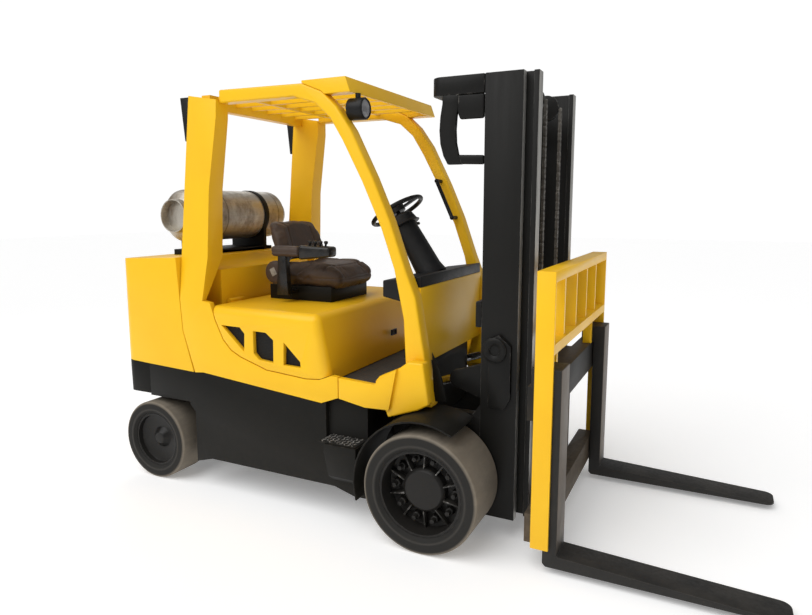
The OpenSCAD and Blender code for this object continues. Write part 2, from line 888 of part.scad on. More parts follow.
module drive_wheel(s) {
    w = drive_tyre_w / 2 - tyre_round;
    r = drive_rim_d / 2;
    color(black)
        place()
            translate([0, s * drive_y, axle_z])
                mirror([0, (1 - s) / 2, 0]) {
                    turned(0, 0, 0, [[r - drive_rim_t, -w], [r, -w], [r, w], [r - drive_rim_t, w],
                        [r - drive_rim_t, drive_disc_y + drive_disc_t], [drive_hub_r, drive_disc_y + drive_disc_t],
                        [drive_hub_r, drive_hub_out - tyre_round], [drive_hub_r - tyre_round, drive_hub_out],
                        [0, drive_hub_out], [0, spindle_out + seam], [spindle_r + pin_gap, spindle_out + seam],
                        [spindle_r + pin_gap, -drive_hub_in], [drive_hub_r, -drive_hub_in],
                        [drive_hub_r, drive_disc_y], [r - drive_rim_t, drive_disc_y]]);
                    for (i = [0 : stud_n - 1])
                        rotate([0, i * 360 / stud_n, 0])
                            bar_y(stud_circle_r, 0, drive_disc_y + drive_disc_t - over,
                                drive_disc_y + drive_disc_t + stud_len, stud_r);
                }
}

module drive_tyre_right() {
    drive_tyre(-1);
}

module drive_tyre_left() {
    drive_tyre(1);
}

module drive_wheel_right() {
    drive_wheel(-1);
}

module drive_wheel_left() {
    drive_wheel(1);
}

// Steer axle: two plates with the steering cylinder between them and trunnions fore and aft
module steer_axle() {
    color(charcoal)
        place() {
            for (t = [-1, 1])
                translate([steer_x, 0, steer_z + t * (knuckle_h / 2 + beam_gap + beam_t / 2) - beam_t / 2])
                    linear_extrude(beam_t)
                        union() {
                            polygon([[-beam_w / 2, -beam_waist_y], [-beam_end_r, -kingpin_y], [beam_end_r, -kingpin_y],
                                [beam_w / 2, -beam_waist_y], [beam_w / 2, beam_waist_y], [beam_end_r, kingpin_y],
                                [-beam_end_r, kingpin_y], [-beam_w / 2, beam_waist_y]]);
                            for (s = [-1, 1])
                                translate([0, s * kingpin_y])
                                    circle(r = beam_end_r, $fn = mid);
                        }
            for (s = [-1, 1])
                bar_z(steer_x, s * kingpin_y, steer_z - knuckle_h / 2 - beam_gap - over,
                    steer_z + knuckle_h / 2 + beam_gap + over, kingpin_r);
            block(steer_x - beam_w / 2, steer_x + beam_w / 2, -hanger_w / 2, hanger_w / 2,
                steer_z - knuckle_h / 2 - beam_gap - over, steer_z + knuckle_h / 2 + beam_gap + over);
            bar_x(0, steer_z, steer_x - trunnion_x - trunnion_t / 2, steer_x + trunnion_x + trunnion_t / 2,
                trunnion_r);
            bar_y(steer_x, steer_z, -steer_cyl_len / 2, steer_cyl_len / 2, steer_cyl_r);
        }
}

module steer_knuckle(s) {
    color(charcoal)
        place()
            difference() {
                union() {
                    bar_z(steer_x, s * kingpin_y, steer_z - knuckle_h / 2, steer_z + knuckle_h / 2, knuckle_r);
                    translate([steer_x, s * kingpin_y, steer_z])
                        rotate([-90 * s, 0, 0])
                            cylinder(h = steer_y - kingpin_y + steer_spindle_out, r = steer_spindle_r, $fn = mid);
                    block(steer_x, steer_x + steer_arm_len, s * kingpin_y - steer_arm_w / 2,
                        s * kingpin_y + steer_arm_w / 2, steer_z - steer_arm_t / 2, steer_z + steer_arm_t / 2);
                }
                bar_z(steer_x, s * kingpin_y, steer_z - knuckle_h, steer_z + knuckle_h, kingpin_r + pin_gap);
            }
}

module steer_knuckle_right() {
    steer_knuckle(-1);
}

module steer_knuckle_left() {
    steer_knuckle(1);
}

module steer_tyre(s) {
    w = steer_tyre_w / 2;
    r = steer_tyre_d / 2;
    color(rubber)
        place()
            turned(steer_x, s * steer_y, steer_z, concat([[steer_rim_d / 2 + seat_gap, -w + tyre_round],
                [steer_rim_d / 2 + tyre_round, -w]], arc(r - tyre_round, tyre_round - w, tyre_round, -90, 0, 6),
                arc(r - tyre_round, w - tyre_round, tyre_round, 0, 90, 6),
                [[steer_rim_d / 2 + tyre_round, w], [steer_rim_d / 2 + seat_gap, w - tyre_round]]));
}

module steer_wheel(s) {
    w = steer_tyre_w / 2 - tyre_round;
    r = steer_rim_d / 2;
    color(black)
        place()
            translate([steer_x, s * steer_y, steer_z])
                mirror([0, (1 - s) / 2, 0])
                    turned(0, 0, 0, [[r - steer_rim_t, -w], [r, -w], [r, w], [r - steer_rim_t, w],
                        [r - steer_rim_t, steer_disc_y + steer_disc_t + seam * 4],
                        [steer_hub_r, steer_disc_y + steer_disc_t], [steer_cap_r, steer_cap_out - tyre_round],
                        [steer_cap_r - tyre_round, steer_cap_out], [0, steer_cap_out],
                        [0, steer_spindle_out + seam], [steer_spindle_r + pin_gap, steer_spindle_out + seam],
                        [steer_spindle_r + pin_gap, -steer_hub_in / 2], [steer_hub_r, -steer_hub_in / 2],
                        [steer_hub_r, steer_disc_y], [r - steer_rim_t, steer_disc_y + seam * 4]]);
}

module steer_tyre_right() {
    steer_tyre(-1);
}

module steer_tyre_left() {
    steer_tyre(1);
}

module steer_wheel_right() {
    steer_wheel(-1);
}

module steer_wheel_left() {
    steer_wheel(1);
}

// Black cradle on the counterweight with two saddles and two straps
module tank_cradle() {
    color(black)
        place() {
            difference() {
                union() {
                    across([[cradle_x0, weight_z(cradle_x0)], [cradle_x1, weight_z(cradle_x1)],
                        [cradle_x1, weight_z(cradle_x1) + cradle_t], [cradle_x0, weight_z(cradle_x1) + cradle_t]],
                        -cradle_hw, cradle_hw);
                    for (s = [-1, 1])
                        block(tank_x - cradle_saddle_w / 2, tank_x + cradle_saddle_w / 2,
                            s * cradle_saddle_y - cradle_saddle_t / 2, s * cradle_saddle_y + cradle_saddle_t / 2,
                            weight_z(cradle_x1) + over, tank_z - tank_r / 2);
                }
                bar_y(tank_x, tank_z, -cradle_hw - over, cradle_hw + over, tank_r + seat_gap);
            }
            for (s = [-1, 1])
                difference() {
                    bar_y(tank_x, tank_z, s * cradle_saddle_y - strap_w / 2, s * cradle_saddle_y + strap_w / 2,
                        tank_r + strap_t);
                    bar_y(tank_x, tank_z, s * cradle_saddle_y - strap_w, s * cradle_saddle_y + strap_w,
                        tank_r + seat_gap);
                }
        }
}

// Top of the counterweight at a place along it, with the seating gap
function weight_z(x) = weight_top_z + seat_gap + (weight_front_top_z - weight_top_z)
    * (x - tail_x - weight_edge) / (weight_front_top_x - tail_x - weight_edge);

// Lying gas cylinder with domed ends, a collar at one end and a foot ring at the other
module gas_tank() {
    color(silver)
        place()
            translate([tank_x, 0, tank_z])
                rotate([-90, 0, 0])
                    union() {
                        rotate_extrude($fn = fine)
                            polygon(concat([[0, tank_y0]], [for (i = [0 : 8]) [tank_r * sin(i * 90 / 8),
                                tank_y0 + tank_dome * (1 - cos(i * 90 / 8))]],
                                [for (i = [8 : -1 : 0]) [tank_r * sin(i * 90 / 8),
                                tank_y1 - tank_dome * (1 - cos(i * 90 / 8))]]));
                        rotate_extrude($fn = fine)
                            polygon([[tank_collar_r - tank_collar_t, tank_y0 - tank_collar_len / 2],
                                [tank_collar_r, tank_y0 - tank_collar_len / 2],
                                [tank_collar_r, tank_y0 + tank_dome / 2],
                                [tank_collar_r - tank_collar_t, tank_y0 + tank_dome / 2]]);
                        rotate_extrude($fn = fine)
                            polygon([[tank_collar_r, tank_y1 - tank_dome / 2],
                                [tank_collar_r + tank_collar_t, tank_y1 - tank_dome / 2],
                                [tank_collar_r + tank_collar_t, tank_y1 + tank_collar_len / 3],
                                [tank_collar_r, tank_y1 + tank_collar_len / 3]]);
                    }
}

// Hand wheel with its hub and three spokes
module steering_wheel() {
    ring_r = hand_wheel_d / 2 - column_shaft_r;
    color(black)
        place()
            translate([column_top_x, 0, column_top_z])
                rotate([0, -column_lean, 0])
                    translate([0, 0, column_r / 2])
                        difference() {
                            union() {
                                translate([0, 0, column_shaft_r])
                                    rotate_extrude($fn = fine)
                                        translate([ring_r, 0])
                                            circle(r = column_shaft_r, $fn = mid);
                                cylinder(h = column_r, r = column_r, $fn = mid);
                                for (a = [0, 120, 240])
                                    rotate([0, 0, a])
                                        translate([0, -column_shaft_r, column_shaft_r / 2])
                                            cube([ring_r, 2 * column_shaft_r, column_shaft_r]);
                            }
                            translate([0, 0, -over])
                                cylinder(h = column_r / 2 + seam, r = column_shaft_r + pin_gap, $fn = mid);
                        }
}

// Outer or inner form of the hood, drawn in by a wall
module hood_form(wall) {
    hull()
        for (s = [-1, 1], z = [hood_low_z, hood_top_z - hood_round]) {
            translate([hood_rear_x + hood_round, s * (half_w - hood_round), z])
                sphere(r = hood_round - wall, $fn = 32);
            translate([(z > hood_low_z ? hood_front_top_x : hood_front_low_x) - hood_round,
                s * (half_w - hood_round), z])
                sphere(r = hood_round - wall, $fn = 32);
        }
}

// Yellow engine hood with side louvre openings, hinged along its rear edge
module hood() {
    color(yellow)
        place() {
            difference() {
                intersection() {
                    hood_form(0);
                    union() {
                        across(concat([for (p = hood_seam) p + [seam, seam]],
                            [[hood_front_low_x + seam, hood_top_z + over],
                            [hood_seam[0][0] + seam, hood_top_z + over]]), -half_w - over, half_w + over);
                        block(hood_rear_x - over, hood_seam[1][0], skirt_t + seam - half_w,
                            half_w - skirt_t - seam, hood_seam[1][1], hood_top_z + over);
                        across([[hood_front_top_x - hood_round, floor_z + seam],
                            [hood_front_low_x + seam, floor_z + seam], [hood_front_low_x + seam, hood_top_z - seam],
                            [hood_front_top_x - hood_round, hood_top_z - seam]], -floor_hw, floor_hw);
                    }
                }
                hood_form(hood_wall);
                both()
                    for (p = louvre_outlines)
                        across(p, half_w - 2 * hood_wall, half_w + over);
            }
            both()
                difference() {
                    union() {
                        bar_y(hood_rear_x - hinge_r, hood_top_z, hinge_y, hinge_y + hinge_w, hinge_r);
                        block(hood_rear_x - hinge_r, hood_rear_x + hood_round, hinge_y, hinge_y + hinge_w,
                            hood_top_z - hinge_r, hood_top_z - hinge_r / 2);
                    }
                    bar_y(hood_rear_x - hinge_r, hood_top_z, hinge_y - over, hinge_y + hinge_w + over,
                        hinge_pin_r + pin_gap);
                }
        }
}

// Black slatted inserts behind the louvre openings
module hood_grilles() {
    color(black)
        place()
            both()
                for (p = louvre_outlines)
                    across(p, half_w - hood_wall - grille_t, half_w - hood_wall - seat_gap);
}

// Black slide base between the hood and the cushion
module seat_base() {
    color(black)
        place()
            block(seat_base_x0, seat_base_x1, -seat_base_hw, seat_base_hw, hood_top_z + seat_gap,
                hood_top_z + seat_base_h);
}

// Padded seat cushion
module seat_cushion() {
    low = hood_top_z + seat_base_h + seat_gap;
    color(brown)
        place()
            hull()
                for (x = [cushion_x0 + cushion_round, cushion_x1 - cushion_round],
                    y = [-seat_hw + cushion_round, seat_hw - cushion_round],
                    z = [low + cushion_round, low + cushion_t - cushion_round])
                    translate([x, y, z])
                        sphere(r = cushion_round, $fn = 24);
}

// Padded seat back
module seat_back() {
    low = hood_top_z + seat_base_h + cushion_t + 2 * seat_gap;
    color(brown)
        place()
            hull()
                for (y = [-seat_hw + cushion_round, seat_hw - cushion_round], s = [0, 1])
                    translate([s == 0 ? back_low_x : back_top_x, y, s == 0 ? low + cushion_round
                        : back_top_z - cushion_round]) {
                        sphere(r = cushion_round, $fn = 24);
                        translate([back_t - 2 * cushion_round, 0, 0])
                            sphere(r = cushion_round, $fn = 24);
                    }
}

// Right armrest with its post and lever pod
module armrest() {
    low = hood_top_z + seat_base_h / 2;
    color(charcoal)
        place() {
            block(arm_x0, arm_x1, arm_y - arm_w / 2, arm_y + arm_w / 2, arm_low_z, arm_low_z + arm_t);
            block(arm_x0 + arm_post_w, arm_x0 + 2 * arm_post_w, arm_y - arm_w / 4, arm_y + arm_w / 4,
                low, arm_low_z + over);
            block(arm_x0 + arm_post_w, arm_x0 + 2 * arm_post_w, arm_y, -seat_base_hw - seat_gap,
                low, low + seat_base_h / 4);
            for (i = [0 : 3])
                bar_z(arm_x1 - arm_w / 4 - i * arm_w / 3, arm_y, arm_low_z + arm_t - over,
                    arm_low_z + 2 * arm_t - 2 * seam, pedal_arm_r);
        }
}

// Channel of one outer rail seen from above, for the left side
function outer_section() = [[mast_rear_x, half_mast], [mast_front_x, half_mast],
    [mast_front_x, half_mast - rail_lip_w], [mast_front_x - rail_flange, half_mast - rail_lip_w],
    [mast_front_x - rail_flange, half_mast - rail_web], [mast_rear_x + rail_flange, half_mast - rail_web],
    [mast_rear_x + rail_flange, half_mast - rail_rear_w], [mast_rear_x, half_mast - rail_rear_w]];

// Section of one inner rail seen from above, for the left side
function inner_section() = [[inner_rear_x, inner_out_y], [inner_rear_x + rail_flange, inner_out_y],
    [inner_rear_x + rail_flange, inner_out_y - (inner_w - inner_web) / 2],
    [inner_front_x - rail_flange, inner_out_y - (inner_w - inner_web) / 2],
    [inner_front_x - rail_flange, inner_out_y], [inner_front_x, inner_out_y],
    [inner_front_x, inner_out_y - inner_w], [inner_front_x - rail_flange, inner_out_y - inner_w],
    [inner_front_x - rail_flange, inner_out_y - (inner_w + inner_web) / 2],
    [inner_rear_x + rail_flange, inner_out_y - (inner_w + inner_web) / 2],
    [inner_rear_x + rail_flange, inner_out_y - inner_w], [inner_rear_x, inner_out_y - inner_w]];

// Outer rails of the mast
module mast_outer_rails() {
    color(black)
        place()
            both()
                translate([0, 0, mast_low_z])
                    linear_extrude(mast_top_z - mast_low_z)
                        polygon(outer_section());
}

// Rear ties of the outer rails with the yoke at the top
module mast_outer_ties() {
    in_y = half_mast - yoke_plate_t;
    color(black)
        place() {
            both() {
                block(yoke_rear_x, mast_rear_x - seat_gap, in_y, half_mast, yoke_low_z, mast_top_z);
                block(yoke_leg_x, yoke_leg_x + yoke_leg_w, in_y, half_mast, yoke_foot_z, yoke_low_z + over);
                block(yoke_leg_x, mast_rear_x - seat_gap, in_y, half_mast, yoke_foot_z, yoke_foot_z + yoke_foot_h);
            }
            block(yoke_rear_x, yoke_rear_x + yoke_t, -in_y - over, in_y + over, yoke_low_z, mast_top_z);
            block(mast_rear_x - tie_t, mast_rear_x - seat_gap, -half_mast + seam, half_mast - seam, tie_mid_z,
                tie_mid_z + tie_h);
            block(mast_rear_x - tie_t, mast_rear_x - seat_gap, -half_mast + seam, half_mast - seam, tie_low_z,
                tie_low_z + tie_h);
        }
}

// Hangers that turn on the axle housing, the tilt lugs and the side hooks
module mast_hangers() {
    color(black)
        place()
            both() {
                difference() {
                    union() {
                        bar_y(0, axle_z, hang_in_y, hang_in_y + hang_t, hang_r);
                        across([[0, axle_z + hang_r], [mast_rear_x - seat_gap, hang_top_z],
                            [mast_rear_x - seat_gap, tie_low_z + tie_h + seam],
                            [mast_rear_x - tie_t - seam, tie_low_z + tie_h + seam],
                            [mast_rear_x - tie_t - seam, hang_low_z], [0, axle_z - hang_r]],
                            hang_in_y, hang_in_y + hang_t);
                    }
                    bar_y(0, axle_z, hang_in_y - over, hang_in_y + hang_t + over, axle_tube_r + pin_gap);
                }
                across([[lug_x, lug_pin_z + lug_r], [mast_rear_x - seat_gap, lug_pin_z + 2 * lug_r],
                    [mast_rear_x - seat_gap, lug_pin_z - 2 * lug_r], [lug_x, lug_pin_z - lug_r]],
                    tilt_y + tilt_eye_w / 2 + seam, tilt_y + tilt_eye_w / 2 + seam + lug_t);
                bar_y(lug_x, lug_pin_z, tilt_y + tilt_eye_w / 2 + seam, tilt_y + tilt_eye_w / 2 + seam + lug_t, lug_r);
                bar_y(lug_x, lug_pin_z, tilt_y - tilt_eye_w / 2, tilt_y + tilt_eye_w / 2 + seam + over, lug_pin_r);
                across([[hook_x0, hook_low_z], [hook_x1 - hook_t, hook_low_z], [hook_x1, hook_low_z + 2 * hook_t],
                    [hook_x1, hook_top_z - 2 * hook_t], [hook_x0 + 2 * hook_t, hook_top_z],
                    [hook_x0, hook_top_z - hook_t]], half_mast + seat_gap, half_mast + hook_t);
            }
}

// Lift cylinder barrels standing behind the inner rails
module lift_barrels() {
    color(black)
        place()
            both()
                difference() {
                    union() {
                        bar_z(lift_x, lift_y, lift_barrel_low_z, lift_barrel_top_z, lift_barrel_r);
                        block(mast_rear_x, lift_x, lift_y - lift_barrel_r / 2, lift_y + lift_barrel_r / 2,
                            tie_mid_z, tie_mid_z + tie_h);
                        block(mast_rear_x, lift_x, lift_y - lift_barrel_r / 2, lift_y + lift_barrel_r / 2,
                            tie_low_z, tie_low_z + tie_h);
                    }
                    bar_z(lift_x, lift_y, lift_barrel_low_z + lift_barrel_r, lift_barrel_top_z + over,
                        lift_rod_r + pin_gap);
                }
}

// Inner rails of the mast
module mast_inner_rails() {
    color(black)
        place()
            both()
                translate([0, 0, inner_low_z])
                    linear_extrude(mast_top_z - inner_low_z)
                        polygon(inner_section());
}

// Ties of the inner rails, with the chain sheaves
module mast_inner_ties() {
    in_y = inner_out_y - inner_w;
    color(black)
        place() {
            block(inner_rear_x - inner_tie_t, inner_rear_x - seat_gap, -inner_out_y, inner_out_y, inner_top_tie_z,
                inner_top_tie_z + inner_tie_h);
            block(inner_foot_x, inner_foot_x + inner_tie_t, -in_y + seat_gap, in_y - seat_gap,
                inner_low_z, inner_low_z + inner_tie_h / 2);
            for (s = [-1, 1]) {
                bar_y(sheave_x, sheave_z, s * sheave_y - sheave_w / 2, s * sheave_y + sheave_w / 2, sheave_r);
                block(inner_rear_x - seat_gap - over, sheave_x, s * sheave_y - sheave_w / 2 - seam,
                    s * sheave_y - sheave_w / 2 + over, inner_top_tie_z, inner_top_tie_z + inner_tie_h);
            }
        }
}

// Lift cylinder rods under the top tie of the inner rails
module lift_rods() {
    color(steel)
        place()
            both()
                bar_z(lift_x, lift_y, lift_barrel_low_z + lift_barrel_r + seam, inner_top_tie_z - seat_gap, lift_rod_r);
}

// Carriage: two fork bars, side plates and rollers
module carriage() {
    color(black)
        place() {
            block(bar_rear_x, bar_front_x, -bar_hw, bar_hw, bar_up_low_z, bar_up_top_z);
            block(bar_rear_x, bar_front_x, -bar_hw, bar_hw, bar_low_low_z, bar_low_top_z);
            both() {
                block(side_rear_x, bar_rear_x + over, side_in_y, side_in_y + side_t, bar_low_low_z + seam, bar_up_top_z);
                for (z = [roller_low_z, roller_top_z])
                    bar_y(roller_x, z, side_in_y + side_t - over, side_in_y + side_t + 2 * roller_w, roller_r);
            }
            block(sheave_x + sheave_r + pin_gap + seam, bar_rear_x + over, -side_in_y - over, side_in_y + over,
                bar_up_top_z - side_t, bar_up_top_z);
        }
}

// Yellow load backrest with its side plates, rails and bars
module load_backrest() {
    hw = backrest_w / 2;
    color(yellow)
        place() {
            both()
                block(backrest_rear_x, backrest_front_x, hw - backrest_plate_t, hw, bar_low_low_z - seam,
                    backrest_top_z);
            for (z = [backrest_bar_low_z, backrest_top_z - backrest_rail_t])
                block(backrest_rear_x, backrest_front_x, -hw + over, hw - over, z, z + backrest_rail_t);
            for (i = [1 : backrest_bar_n - 2])
                block(backrest_rear_x + backrest_plate_t, backrest_front_x - backrest_plate_t,
                    hw * (2 * i / (backrest_bar_n - 1) - 1) - backrest_bar_w / 2,
                    hw * (2 * i / (backrest_bar_n - 1) - 1) + backrest_bar_w / 2,
                    backrest_bar_low_z + over, backrest_top_z - over);
            for (z = [bar_up_low_z, bar_low_low_z])
                both()
                    block(backrest_rear_x, backrest_rear_x + backrest_plate_t, bar_hw + seat_gap, hw - over, z,
                        z + backrest_plate_t * 6);
            both()
                block(backrest_rear_x, bar_front_x, bracket_y, bracket_y + 2 * backrest_plate_t,
                    bar_up_top_z + seat_gap, backrest_bar_low_z + over);
        }
}

// Forks hooked on the carriage's bars
module forks() {
    color(worn)
        place()
            both()
                intersection() {
                    union() {
                        across([[fork_face_x - fork_t, fork_top_z], [fork_face_x, fork_top_z],
                            [fork_face_x, fork_heel_z], [tip_x, fork_tip_z], [tip_x, fork_low_z],
                            [fork_face_x - fork_t + tyre_round, fork_low_z], [fork_face_x - fork_t, fork_low_z
                            + tyre_round]], fork_spread / 2 - fork_w, fork_spread / 2);
                        across([[bar_front_x - fork_t, bar_up_top_z + seat_gap],
                            [fork_face_x - over, bar_up_top_z + seat_gap], [fork_face_x - over, fork_top_z],
                            [bar_front_x - fork_t, fork_top_z]], fork_spread / 2 - fork_w, fork_spread / 2);
                    }
                    linear_extrude(guard_top_z)
                        polygon(concat([[0, fork_spread / 2 - fork_w], [tip_x - fork_tip_round, fork_spread / 2 - fork_w]],
                            arc(tip_x - fork_tip_round, fork_spread / 2 - fork_w + fork_tip_round, fork_tip_round,
                            -90, 0, 6), arc(tip_x - fork_tip_round, fork_spread / 2 - fork_tip_round, fork_tip_round,
                            0, 90, 6), [[0, fork_spread / 2]]));
                }
}

// Front runs of the lift chains, from the sheaves to the carriage
module chains_front() {
    color(steel)
        place()
            for (s = [-1, 1])
                block(sheave_x + sheave_r + seat_gap, sheave_x + sheave_r + chain_t, s * sheave_y - chain_w / 2,
                    s * sheave_y + chain_w / 2, bar_up_top_z + seat_gap, sheave_z);
}

// Rear runs of the lift chains, from the sheaves to the outer mast
module chains_rear() {
    color(steel)
        place()
            for (s = [-1, 1])
                block(sheave_x - sheave_r - chain_t, sheave_x - sheave_r - seat_gap, s * sheave_y - chain_w / 2,
                    s * sheave_y + chain_w / 2, chain_anchor_z, sheave_z);
}

// A tilt cylinder's own axis, from its pin towards the mast
module tilt_axis() {
    translate([tilt_pin_x, tilt_y, tilt_pin_z])
        rotate([0, 90 - tilt_a, 0])
            children();
}

// Tilt cylinder barrels on their pins in the frame
module tilt_barrels() {
    color(black)
        place()
            both()
                tilt_axis()
                    difference() {
                        union() {
                            rotate([-90, 0, 0])
                                translate([0, 0, -tilt_eye_w / 2])
                                    cylinder(h = tilt_eye_w, r = tilt_eye_r, $fn = mid);
                            translate([0, 0, tilt_eye_r])
                                cylinder(h = tilt_barrel_len - tilt_eye_r, r = tilt_barrel_r, $fn = mid);
                            translate([-tilt_eye_r / 2, -tilt_eye_w / 2, 0])
                                cube([tilt_eye_r, tilt_eye_w, tilt_eye_r + over]);
                        }
                        rotate([-90, 0, 0])
                            translate([0, 0, -tilt_eye_w])
                                cylinder(h = 2 * tilt_eye_w, r = tilt_pin_r + pin_gap, $fn = mid);
                        translate([0, 0, 2 * tilt_eye_r])
                            cylinder(h = tilt_barrel_len, r = tilt_rod_r + pin_gap, $fn = mid);
                    }
}

// Tilt cylinder rods with their eyes at the mast's lugs
module tilt_rods() {
    color(steel)
        place()
            both()
                tilt_axis()
                    difference() {
                        union() {
                            translate([0, 0, 2 * tilt_eye_r + tilt_stroke_back])
                                cylinder(h = tilt_len - 2 * tilt_eye_r - tilt_stroke_back, r = tilt_rod_r, $fn = mid);
                            translate([0, 0, tilt_len])
                                rotate([-90, 0, 0])
                                    translate([0, 0, -tilt_eye_w / 2])
                                        cylinder(h = tilt_eye_w, r = tilt_eye_r, $fn = mid);
                        }
                        translate([0, 0, tilt_len])
                            rotate([-90, 0, 0])
                                translate([0, 0, -tilt_eye_w])
                                    cylinder(h = 2 * tilt_eye_w, r = lug_pin_r + tilt_eye_gap, $fn = mid);
                    }
}

main_frame();
counterweight();
counterweight_base();
radiator_cover();
rear_legs();
cowl();
dash();
steering_column();
floor_plate();
pedals();
fenders();
front_legs();
guard_roof();
tail_lamps();
work_lamp();
grab_handle();
engine_block();
drive_axle();
steer_axle();
tank_cradle();
gas_tank();
steering_wheel();
hood();
hood_grilles();
seat_base();
seat_cushion();
seat_back();
armrest();
drive_tyre_right();
drive_wheel_right();
drive_tyre_left();
drive_wheel_left();
steer_knuckle_right();
steer_knuckle_left();
steer_tyre_right();
steer_wheel_right();
steer_tyre_left();
steer_wheel_left();
mast_outer_rails();
mast_outer_ties();
mast_hangers();
lift_barrels();
mast_inner_rails();
mast_inner_ties();
lift_rods();
carriage();
load_backrest();
forks();
chains_front();
chains_rear();
tilt_barrels();
tilt_rods();
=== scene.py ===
import math

import bpy
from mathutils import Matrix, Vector


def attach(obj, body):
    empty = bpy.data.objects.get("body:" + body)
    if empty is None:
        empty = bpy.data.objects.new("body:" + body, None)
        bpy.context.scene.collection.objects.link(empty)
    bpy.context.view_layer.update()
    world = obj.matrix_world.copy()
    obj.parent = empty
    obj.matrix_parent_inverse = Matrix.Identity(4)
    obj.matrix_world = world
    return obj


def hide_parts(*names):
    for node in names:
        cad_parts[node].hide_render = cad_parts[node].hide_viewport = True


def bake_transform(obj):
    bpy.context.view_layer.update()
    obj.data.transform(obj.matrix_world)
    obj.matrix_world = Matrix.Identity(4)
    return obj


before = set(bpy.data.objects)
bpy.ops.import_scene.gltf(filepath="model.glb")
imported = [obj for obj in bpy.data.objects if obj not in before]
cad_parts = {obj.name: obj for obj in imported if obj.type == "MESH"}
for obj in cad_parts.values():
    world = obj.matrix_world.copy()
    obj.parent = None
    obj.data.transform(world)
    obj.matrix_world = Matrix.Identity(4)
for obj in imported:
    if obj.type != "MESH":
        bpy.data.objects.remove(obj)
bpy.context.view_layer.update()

# Camera. It stands off the truck's right front corner at a standing photographer's eye height,
# looks slightly down, and its frame is the 812 by 615 image.
IMAGE_WIDTH = 812
FOCAL_PIXELS = 643.35
SENSOR_WIDTH = 36.0
CAMERA_PLACE = (1.390, -3.199, 1.568)
CAMERA_AZIMUTH = math.radians(26.10)
CAMERA_ELEVATION = math.radians(7.75)
CAMERA_SHIFT_X, CAMERA_SHIFT_Y = 0.0017, -0.0170
bpy.ops.object.camera_add(location=CAMERA_PLACE)
camera = bpy.context.object
towards_camera = Vector((
    math.sin(CAMERA_AZIMUTH) * math.cos(CAMERA_ELEVATION),
    -math.cos(CAMERA_AZIMUTH) * math.cos(CAMERA_ELEVATION),
    math.sin(CAMERA_ELEVATION),
))
camera.rotation_euler = (-towards_camera).to_track_quat("-Z", "Y").to_euler()
camera.data.sensor_width = SENSOR_WIDTH
camera.data.lens = FOCAL_PIXELS * SENSOR_WIDTH / IMAGE_WIDTH
camera.data.shift_x = CAMERA_SHIFT_X
camera.data.shift_y = CAMERA_SHIFT_Y
bpy.context.scene.camera = camera


# Floor and light. A pale seamless studio floor in a white surround, a broad overhead light
# from the truck's right rear, and soft boxes at its side, ahead of it and behind it.
def node(material, kind, inputs=None, **settings):
    made = material.node_tree.nodes.new("ShaderNode" + kind)
    for name, value in settings.items():
        setattr(made, name, value)
    for name, value in (inputs or {}).items():
        if isinstance(value, bpy.types.NodeSocket):
            material.node_tree.links.new(value, made.inputs[name])
        else:
            made.inputs[name].default_value = value
    return made


def finish(name, **constants):
    material = bpy.data.materials.new(name)
    material.use_nodes = True
    shader = material.node_tree.nodes["Principled BSDF"]
    for socket, value in constants.items():
        shader.inputs[socket.replace("_", " ")].default_value = value
    return material


def wire(material, output, socket):
    shader = material.node_tree.nodes["Principled BSDF"]
    material.node_tree.links.new(output, shader.inputs[socket])


def object_place(material, stretch=(1.0, 1.0, 1.0)):
    place = node(material, "TexCoord").outputs["Object"]
    return node(material, "Mapping", {"Vector": place, "Scale": stretch}).outputs["Vector"]


def speckle(material, place, scale, detail=5.0, rough=0.55):
    return node(material, "TexNoise", {
        "Vector": place, "Scale": scale, "Detail": detail, "Roughness": rough,
    }).outputs["Fac"]


def ramp(material, factor, *stops):
    made = node(material, "ValToRGB", {"Fac": factor})
    elements = made.color_ramp.elements
    while len(elements) < len(stops):
        elements.new(0.5)
    for element, (position, colour) in zip(elements, stops):
        element.position = position
        element.color = (*colour, 1.0)
    return made.outputs["Color"]


def grey(value):
    return (value, value, value)


FLOOR_SIZE = 60.0
FLOOR_GLOW = 0.20
bpy.ops.object.select_all(action="DESELECT")
bpy.ops.mesh.primitive_plane_add(size=FLOOR_SIZE, location=(0.0, 0.0, 0.0))
floor = bpy.context.object
floor.name = "studio_floor"
floor_finish = finish("pale_floor", Roughness=0.7, Specular_IOR_Level=0.1, Emission_Strength=FLOOR_GLOW,
                      Emission_Color=(1.0, 1.0, 1.0, 1.0))
floor_tone = speckle(floor_finish, object_place(floor_finish), 1.5)
wire(floor_finish, ramp(floor_finish, floor_tone, (0.3, grey(0.955)), (0.7, grey(0.965))), "Base Color")
floor.data.materials.append(floor_finish)

SURROUND_LIGHT, SURROUND_SEEN = 0.36, 1.02
world = bpy.data.worlds.new("white_surround")
world.use_nodes = True
surround = world.node_tree.nodes["Background"]
surround.inputs["Color"].default_value = (1.0, 1.0, 1.0, 1.0)
level = node(world, "MapRange", {
    "Value": node(world, "LightPath").outputs["Is Camera Ray"],
    "To Min": SURROUND_LIGHT, "To Max": SURROUND_SEEN,
})
world.node_tree.links.new(level.outputs["Result"], surround.inputs["Strength"])
bpy.context.scene.world = world
bpy.context.scene.view_settings.view_transform = "Standard"

